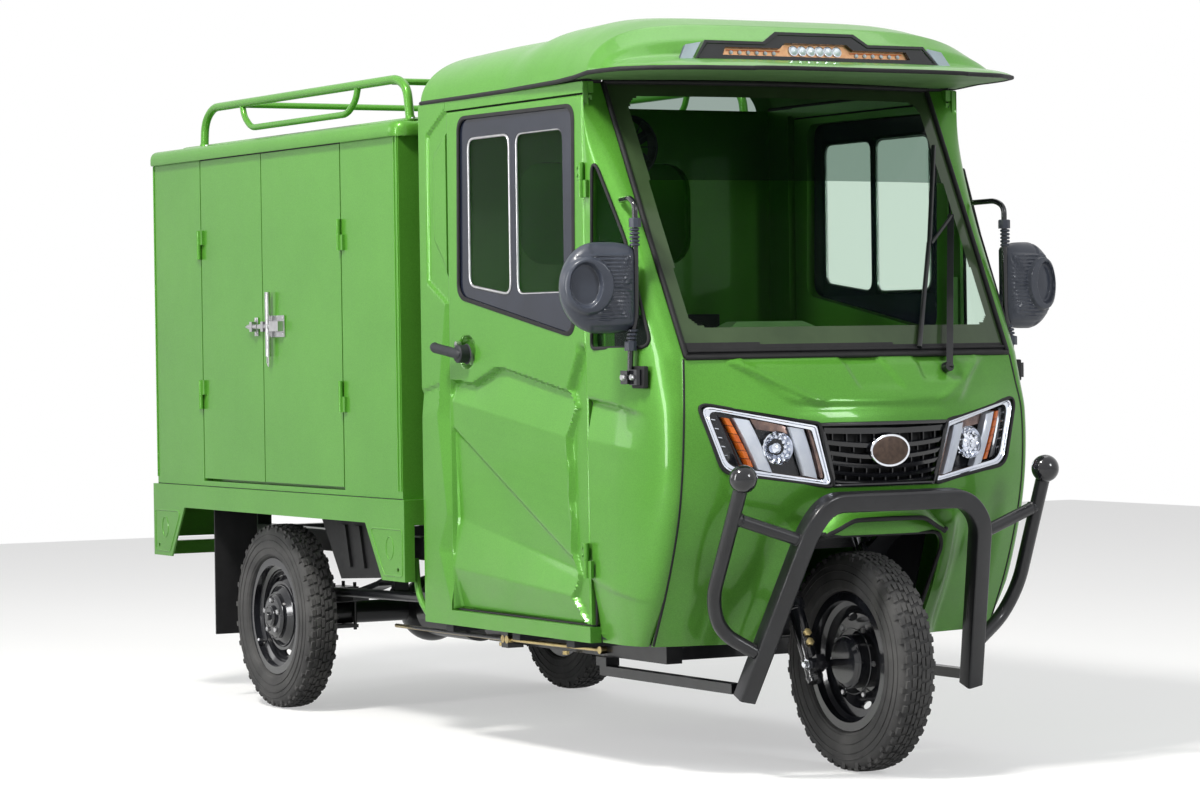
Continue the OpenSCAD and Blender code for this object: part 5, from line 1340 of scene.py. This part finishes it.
def build_box_details():
    s = Shape()
    # Folded beads along the seams and corners of the right side, and ribs on the left.
    for x in (-702, 948):
        s.tube([(x, -561, 645), (x, -561, 1574)], 2.6, 8)
        s.tube([(x, 561, 645), (x, 561, 1574)], 2.6, 8)
    s.tube([(930, -560.6, 645), (930, -560.6, 1574)], 2.2, 8)
    # Embossed borders on the corner legs.
    for side in (-1, 1):
        for x0, d in ((-715, 1), (983, -1)):
            border = rounded_outline([(x0 + d * 14, 424, 10), (x0 + d * 122, 424, 14),
                                      (x0 + d * 206, 546, 14), (x0 + d * 14, 546, 10)], 5)
            s.tube([(p.x, side * 571.5, p.y) for p in border], 2.4, 8, closed=True)
            around = np.linspace(0, 2 * math.pi, 29)[:-1]
            oval = [(x0 + d * 88 + 22 * math.cos(t), side * 571.5, 496 + 30 * math.sin(t)) for t in around]
            s.tube(oval, 2.0, 6, closed=True)
    s.made("box_beads", PAINT, "chassis", "body_paint", smooth=50)
    # Weather strips in the seams and under the lid.
    r = Shape()
    for x in (-350.5, 80, 598.5):
        r.box((x - 1.6, x + 1.6), (-557, -554), (650, 1572))
    r.box((-703, 953), (-558.5, -556), (1572, 1577))
    r.box((-703, 953), (-560.4, -556), (622, 626))
    r.made("box_strips", SEAL, "chassis", "seal", smooth=0)
    # Screws in the latch plates, riding on their doors.
    screw = [(5, 0), (4.5, 2), (2, 3), (0.01, 3.2)]
    f = Shape()
    for dx in (30, 140):
        for dz in (-22, 22):
            f.lathe(screw, (82.5 + dx, -564, LATCH_Z + dz), (0, -1, 0), 12)
    f.tube([(80 + 66, -575, 1006), (80 + 66, -573, 985), (80 + 60, -572, 975), (80 + 52, -572, 985),
            (80 + 54, -573, 1000)], 2.2, 8)
    f.made("latch_screws_front", STEEL, "cargo_side_door_front", "frame_paint", smooth=40)
    g = Shape()
    for dz in (-20, 20):
        g.lathe(screw, (42, -564, LATCH_Z + dz), (0, -1, 0), 12)
    g.made("latch_screws_rear", STEEL, "cargo_side_door_rear", "frame_paint", smooth=40)


# Wheels and underbody.

def ring_path(centre, radius, y, n=64):
    x, z = centre[0], centre[2]
    return [(x + radius * math.cos(a), centre[1] + y, z + radius * math.sin(a)) for a in turns(n)]


def build_wheel_details():
    for name, side, body in (("right", -1, "rear_wheel_right"), ("left", 1, "rear_wheel_left")):
        s = Shape()
        c = (0, side * TRACK / 2, TYRE_R)
        for k in range(5):
            a = 2 * math.pi * (k + 0.25) / 5
            p = (c[0] + 46 * math.cos(a), c[1] + side * 45, c[2] + 46 * math.sin(a))
            s.lathe([(0.01, 6), (7, 6), (8, 4), (8, 0)], p, (0, side, 0), 6, 1)
        for r, y in ((62, 38), (30, 52), (88, 18)):
            s.tube(ring_path(c, r, side * y, 48), 1.8, 6, closed=True)
        s.lathe([(0.01, 7), (10, 7), (12, 4), (12, 0)], (c[0], c[1] + side * 56, c[2]), (0, side, 0), 20, 0)
        for r in (128, 136):
            s.tube(ring_path(c, r, side * 8, 64), 1.6, 6, closed=True)
        a = math.radians(215)
        stem = Vector((c[0] + 138 * math.cos(a), c[1] + side * 20, c[2] + 138 * math.sin(a)))
        s.tube([stem, stem + Vector((-10 * math.cos(a), side * 22, -10 * math.sin(a)))], 4, 10, 1)
        s.made("rear_hub_details_" + name, [GLOSS_BLACK, STEEL], body, "rim_paint", smooth=40)
    s = Shape()
    c = (WHEELBASE, 0, TYRE_R)
    for side in (-1, 1):
        for r, y in ((60, 50 if side > 0 else 40), (78, 20)):
            s.tube(ring_path(c, r, side * y, 48), 1.8, 6, closed=True)
    for a in turns(6):
        for side in (-1, 1):
            p = (c[0] + 88 * math.cos(a), side * 17, c[2] + 88 * math.sin(a))
            s.lathe([(0.01, 5), (6, 5), (7, 3), (7, 0)], p, (0, side, 0), 6, 1)
    stem = Vector((c[0] + 100, -22, c[2] + 96))
    s.tube([stem, stem + Vector((-6, -22, -6))], 4, 10, 1)
    s.made("front_hub_details", [GLOSS_BLACK, STEEL], "front_wheel", "rim_paint", smooth=40)


def fork_point(x, y, s):
    """A point given ahead of the steering axis, to the side and up along the axis from its foot."""
    lead = 32
    base = Vector((WHEELBASE - lead * math.cos(RAKE), 0, TYRE_R - lead * math.sin(RAKE)))
    ahead = Vector((math.cos(RAKE), 0, math.sin(RAKE)))
    up = Vector((-math.sin(RAKE), 0, math.cos(RAKE)))
    return base + ahead * x + Vector((0, y, 0)) + up * s


def build_underbody():
    rods = Shape()
    rods.tube([(190, -210, 232), (1110, -352, 260), (1138, -360, 262)], 5.6, 10)
    rods.tube([(1160, -360, 262), (1598, -330, 262)], 5.6, 10)
    for p in ((1138, -360, 262), (1160, -360, 262), (1598, -330, 262)):
        rods.lathe([(0.01, -9), (10, -9), (10, 9), (0.01, 9)], p, (0, 1, 0), 16)
    for p in ((1090, -344, 240), (1430, -342, 240)):
        rods.lathe([(0.01, 0), (9, 0), (9, 9), (0.01, 9)], p, (0, 0, 1), 6)
    rods.made("brake_rods", ZINC, "chassis", "frame_paint", smooth=40)
    # Ribbed boots, shining stanchions and the calliper side of the fork.
    f = Shape()

    def collar(profile, y, up, sides, tag):
        foot = fork_point(0, y, up)
        f.lathe(profile, foot, fork_point(0, y, up + 1) - foot, sides, tag)
    for side in (-1, 1):
        y = side * 116
        for i in range(13):
            collar([(19, 0), (24, 3), (24, 5), (19, 8)], y, 172 + 8.5 * i, 20, 0)
        f.tube([fork_point(0, y, 290), fork_point(0, y, 322)], 15.6, 20, 1)
        for up in (-26, 20, 150):
            collar([(19, 0), (21, 2), (21, 8), (19, 10)], y, up, 24, 2)
        hub = fork_point(32, side * 142, 0)
        f.lathe([(0.01, 0), (13, 0), (14, 3), (14, 9), (0.01, 10)], hub, (0, side, 0), 6, 1)
        f.lathe([(0.01, 0), (8, 0), (8, 16), (6, 18), (0.01, 18)], hub, (0, side, 0), 16, 1)
    for up in (60, 84):
        f.lathe([(0.01, 0), (9, 0), (10, 3), (10, 8), (0.01, 9)], fork_point(20, -118, up), (1, 0, 0.5), 6, 3)
    f.made("fork_details", [SEAL, CHROME, GLOSS_BLACK, ZINC], "steering", "frame_paint", smooth=40)


# Details of the CAD nodes.

def dress_cad():
    looks = {
        "chassis_frame": (FRAME_BLACK, 1.5), "cab_floor": (TRIM, 1.0), "cab_rear_wall": (PAINT, 2.0),
        "fixed_windows": (WINDOW, 0), "light_bar": (GLOSS_BLACK, 1.5), "wiper": (FRAME_BLACK, 0.6),
        "dashboard": (TRIM, 3.0), "cab_fan": (TRIM, 0), "front_fork": (GLOSS_BLACK, 0.8),
        "handlebar": (TRIM, 1.0), "front_rim": (GLOSS_BLACK, 0), "rear_axle": (FRAME_BLACK, 0.8),
        "leaf_springs": (FRAME_BLACK, 0.6), "rear_rim_right": (GLOSS_BLACK, 0),
        "rear_rim_left": (GLOSS_BLACK, 0), "rear_mudguards": (SEAL, 0.8), "cargo_base": (PAINT, 2.0),
        "cargo_walls": (PAINT, 1.5), "cargo_right_wall": (PAINT, 1.5), "tail_lamps": (RED_LENS, 3.0),
        "side_door_rear": (PAINT, 1.5), "side_door_front": (PAINT, 1.5), "rear_door_right": (PAINT, 1.5),
        "rear_door_left": (PAINT, 1.5)}
    for name, (material, width) in looks.items():
        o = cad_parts[name]
        o.data.materials.clear()
        o.data.materials.append(material)
        shade_smooth(o.data, 32)
        if width:
            bevel(o, width)


def tint_faces(name, material, test):
    """Gives the faces whose middle passes the test, in millimetres, another material."""
    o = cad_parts[name]
    o.data.materials.append(material)
    k = len(o.data.materials) - 1
    for f in o.data.polygons:
        c = o.matrix_world @ f.center
        if test(c.x * 1000 + ORIGIN_X, c.y * 1000, c.z * 1000):
            f.material_index = k


def dress_fittings():
    for name in ("side_door_rear", "side_door_front"):
        tint_faces(name, STEEL, lambda x, y, z: y < -562 and 960 < z < 1200)
    for name in ("rear_door_left", "rear_door_right"):
        tint_faces(name, STEEL, lambda x, y, z: x < -707 and 960 < z < 1200)
    fan = (WHEELBASE - 410, -420, 1500)

    def on_blades(x, y, z):
        return abs(x - fan[0]) < 14 and 22 < math.hypot(y - fan[1], z - fan[2]) < 62
    tint_faces("cab_fan", FAN_BLADE, on_blades)
    tint_faces("cab_fan", CHROME, lambda x, y, z: z > 1590)
    tint_faces("handlebar", LIGHTENED_LINING, lambda x, y, z: abs(y) < 152 and z > 1000)


def squared(value, power):
    """A sine or cosine raised to a power below 1, which draws a circle towards a square."""
    return math.copysign(abs(value) ** power, value)


def cushion(name, middle, size, lean=0.0):
    """A crowned seat cushion whose sides pull in between its corners, with a piped edge and sewn channels."""
    s = Shape()
    hx, hy, hz = (v / 2 for v in size)
    turn = Matrix.Rotation(lean, 3, "Y")
    around = [(squared(math.cos(b), 0.3), squared(math.sin(b), 0.3))
              for b in np.linspace(0, 2 * math.pi, 96, endpoint=False)]
    rows = []
    for a in np.linspace(-math.pi / 2, math.pi / 2, 25):
        ca, sa = squared(math.cos(a), 0.35), squared(math.sin(a), 0.6)
        row = []
        for u, v in around:
            pull = 1 - 0.03 * (1 - (u * v) ** 2)
            crown = 1 + 0.16 * math.cos(u * ca * 1.4) * math.cos(v * ca * 1.4)
            sewn = 1 - 0.07 * math.exp(-((v * ca * 3 + 1.5) % 1 - 0.5) ** 2 * 260) * (sa > 0.5)
            row.append(Vector(middle) + turn @ Vector((hx * u * ca * pull, hy * v * ca * pull,
                                                       hz * sa * crown * sewn / 1.16)))
        rows.append(row)
    s.grid(rows, 0, close_v=True)
    edge = [Vector(middle) + turn @ Vector((hx * u, hy * v, 0)) for u, v in around]
    s.tube(edge, 3.0, 6, closed=True)
    o = s.made(name, LEATHER, "chassis", "seat_cover", smooth=60)
    return o


def build_seat():
    s = Shape()
    s.box((1090, 1470), (-280, 280), (334, 520))
    s.box((1090, 1490), (-330, 330), (520, 610))
    s.box((1090, 1104), (-325, 325), (610, 1100))
    base = s.made("seat_box", TRIM, "chassis", "trim", ["seat"], smooth=30)
    bevel(base, 3)
    cushion("seat_cushion", (1302, 0, 650), (388, 656, 84))
    cushion("seat_back", (1150, 0, 895), (86, 648, 420), math.radians(-3))


def seen_rays(tree, share):
    """1 for rays that show the background, from the camera, a mirror or through glass, times a share."""
    path = node(tree, "ShaderNodeLightPath").outputs
    indirect = calc(tree, "MAXIMUM", path["Is Glossy Ray"], path["Is Transmission Ray"])
    return calc(tree, "MULTIPLY", calc(tree, "MAXIMUM", path["Is Camera Ray"], indirect), share)


def build_stage():
    corners = [(-9000, -9000, 0), (11000, -9000, 0), (11000, 9000, 0), (-9000, 9000, 0)]
    m = bpy.data.meshes.new("floor")
    m.from_pydata([scene_point(p) for p in corners], [], [(0, 1, 2, 3)])
    o = linked("floor", m)
    mat, tree, bsdf = new_material("floor")
    grey = ramp(tree, noise(tree, 0.8), [(0.3, (0.30, 0.30, 0.30)), (0.7, (0.33, 0.33, 0.33))])
    tone = blend_colours(tree, seen_rays(tree, 1.0), grey, (0.92, 0.92, 0.92, 1))
    give(tree, bsdf, {"Base Color": tone, "Roughness": 0.8, "Specular IOR Level": 0.1})
    pale = node(tree, "ShaderNodeEmission", {"Strength": 1.0})
    show_blend(tree, "Material Output", seen_rays(tree, 0.45), bsdf.outputs["BSDF"], pale.outputs["Emission"])
    m.materials.append(mat)
    # The world is white to the camera, and for light it is bright above and dim towards the horizon.
    world = bpy.data.worlds.new("studio")
    world.use_nodes = True
    tree = world.node_tree
    light = tree.nodes["Background"]
    coords = node(tree, "ShaderNodeTexCoord").outputs["Generated"]
    split = node(tree, "ShaderNodeSeparateXYZ", {"Vector": coords})
    stops = [(0.0, (0.10, 0.10, 0.10)), (0.49, (0.16, 0.16, 0.16)), (0.60, (0.55, 0.56, 0.58)),
             (0.85, (0.9, 0.9, 0.9))]
    height = node(tree, "ShaderNodeMapRange", {"Value": split.outputs["Z"], "From Min": -1.0})
    give(tree, light, {"Color": ramp(tree, height.outputs["Result"], stops), "Strength": 0.52})
    white = node(tree, "ShaderNodeBackground", {"Color": (1, 1, 1, 1)})
    show_blend(tree, "World Output", seen_rays(tree, 1.0), light.outputs["Background"],
               white.outputs["Background"])
    bpy.context.scene.world = world

    def lamp(name, place, target, size, power, colour=(1, 1, 1)):
        area = bpy.data.lights.new(name, "AREA")
        area.shape = "RECTANGLE"
        area.size, area.size_y = size
        area.energy = power
        area.color = colour
        ob = linked(name, area)
        ob.location = place
        ob.rotation_euler = (Vector(target) - Vector(place)).to_track_quat("-Z", "Y").to_euler()
    lamp("key", (1.5, -4.0, 6.4), (0.1, -0.3, 0.8), (1.2, 1.0), 560, (1.0, 0.98, 0.93))
    lamp("strip", (0.6, -5.4, 2.0), (1.0, 0, 1.0), (0.6, 3.4), 130)
    lamp("fill", (-4.6, -5.0, 2.6), (-0.8, 0, 0.9), (2.0, 2.0), 40)
    lamp("top", (-1.0, 2.0, 6.5), (0, 0, 0.8), (3.0, 3.0), 45)
    lamp("front", (7.0, 1.8, 3.6), (1.2, 0, 0.9), (1.2, 1.6), 150, (0.96, 0.98, 1.0))


def build_camera():
    """The fitted camera: focal length and frame width in pixels, angles in radians, place in metres."""
    focal, width = 3671.33, 1200
    yaw, pitch, roll = 2.6297, -0.0159, -0.0142
    place = Vector((9.5686 - ORIGIN_X / 1000, -4.8052, 1.0303))
    cam = bpy.data.cameras.new("camera")
    cam.sensor_width = 36
    cam.lens = focal * cam.sensor_width / width
    cam.clip_end = 100
    o = linked("camera", cam)
    forward = Vector((math.cos(yaw) * math.cos(pitch), math.sin(yaw) * math.cos(pitch), math.sin(pitch)))
    right = Vector((math.sin(yaw), -math.cos(yaw), 0))
    up = right.cross(forward)
    right2 = math.cos(roll) * right + math.sin(roll) * up
    up2 = -math.sin(roll) * right + math.cos(roll) * up
    basis = Matrix((right2, up2, -forward)).transposed().to_4x4()
    basis.translation = place
    o.matrix_world = basis
    bpy.context.scene.camera = o


dress_cad()
dress_fittings()
build_fascia()
build_brow()
build_lamps()
build_grille()
build_windshield()
build_quarters()
build_door(-1)
build_door(1)
build_cab_sides()
build_mirrors()
build_light_bar()
build_lid()
build_box_details()
build_wheel_details()
build_underbody()
build_roof()
build_seat()
build_rack()
build_guard()
build_tyre("front_tread", (WHEELBASE, 0, TYRE_R), "front_wheel", "front_tyre")
build_tyre("rear_tread_right", (0, -TRACK / 2, TYRE_R), "rear_wheel_right", "rear_tyre_right")
build_tyre("rear_tread_left", (0, TRACK / 2, TYRE_R), "rear_wheel_left", "rear_tyre_left")
build_stage()
build_camera()

scene = bpy.context.scene
scene.view_settings.view_transform = "Standard"
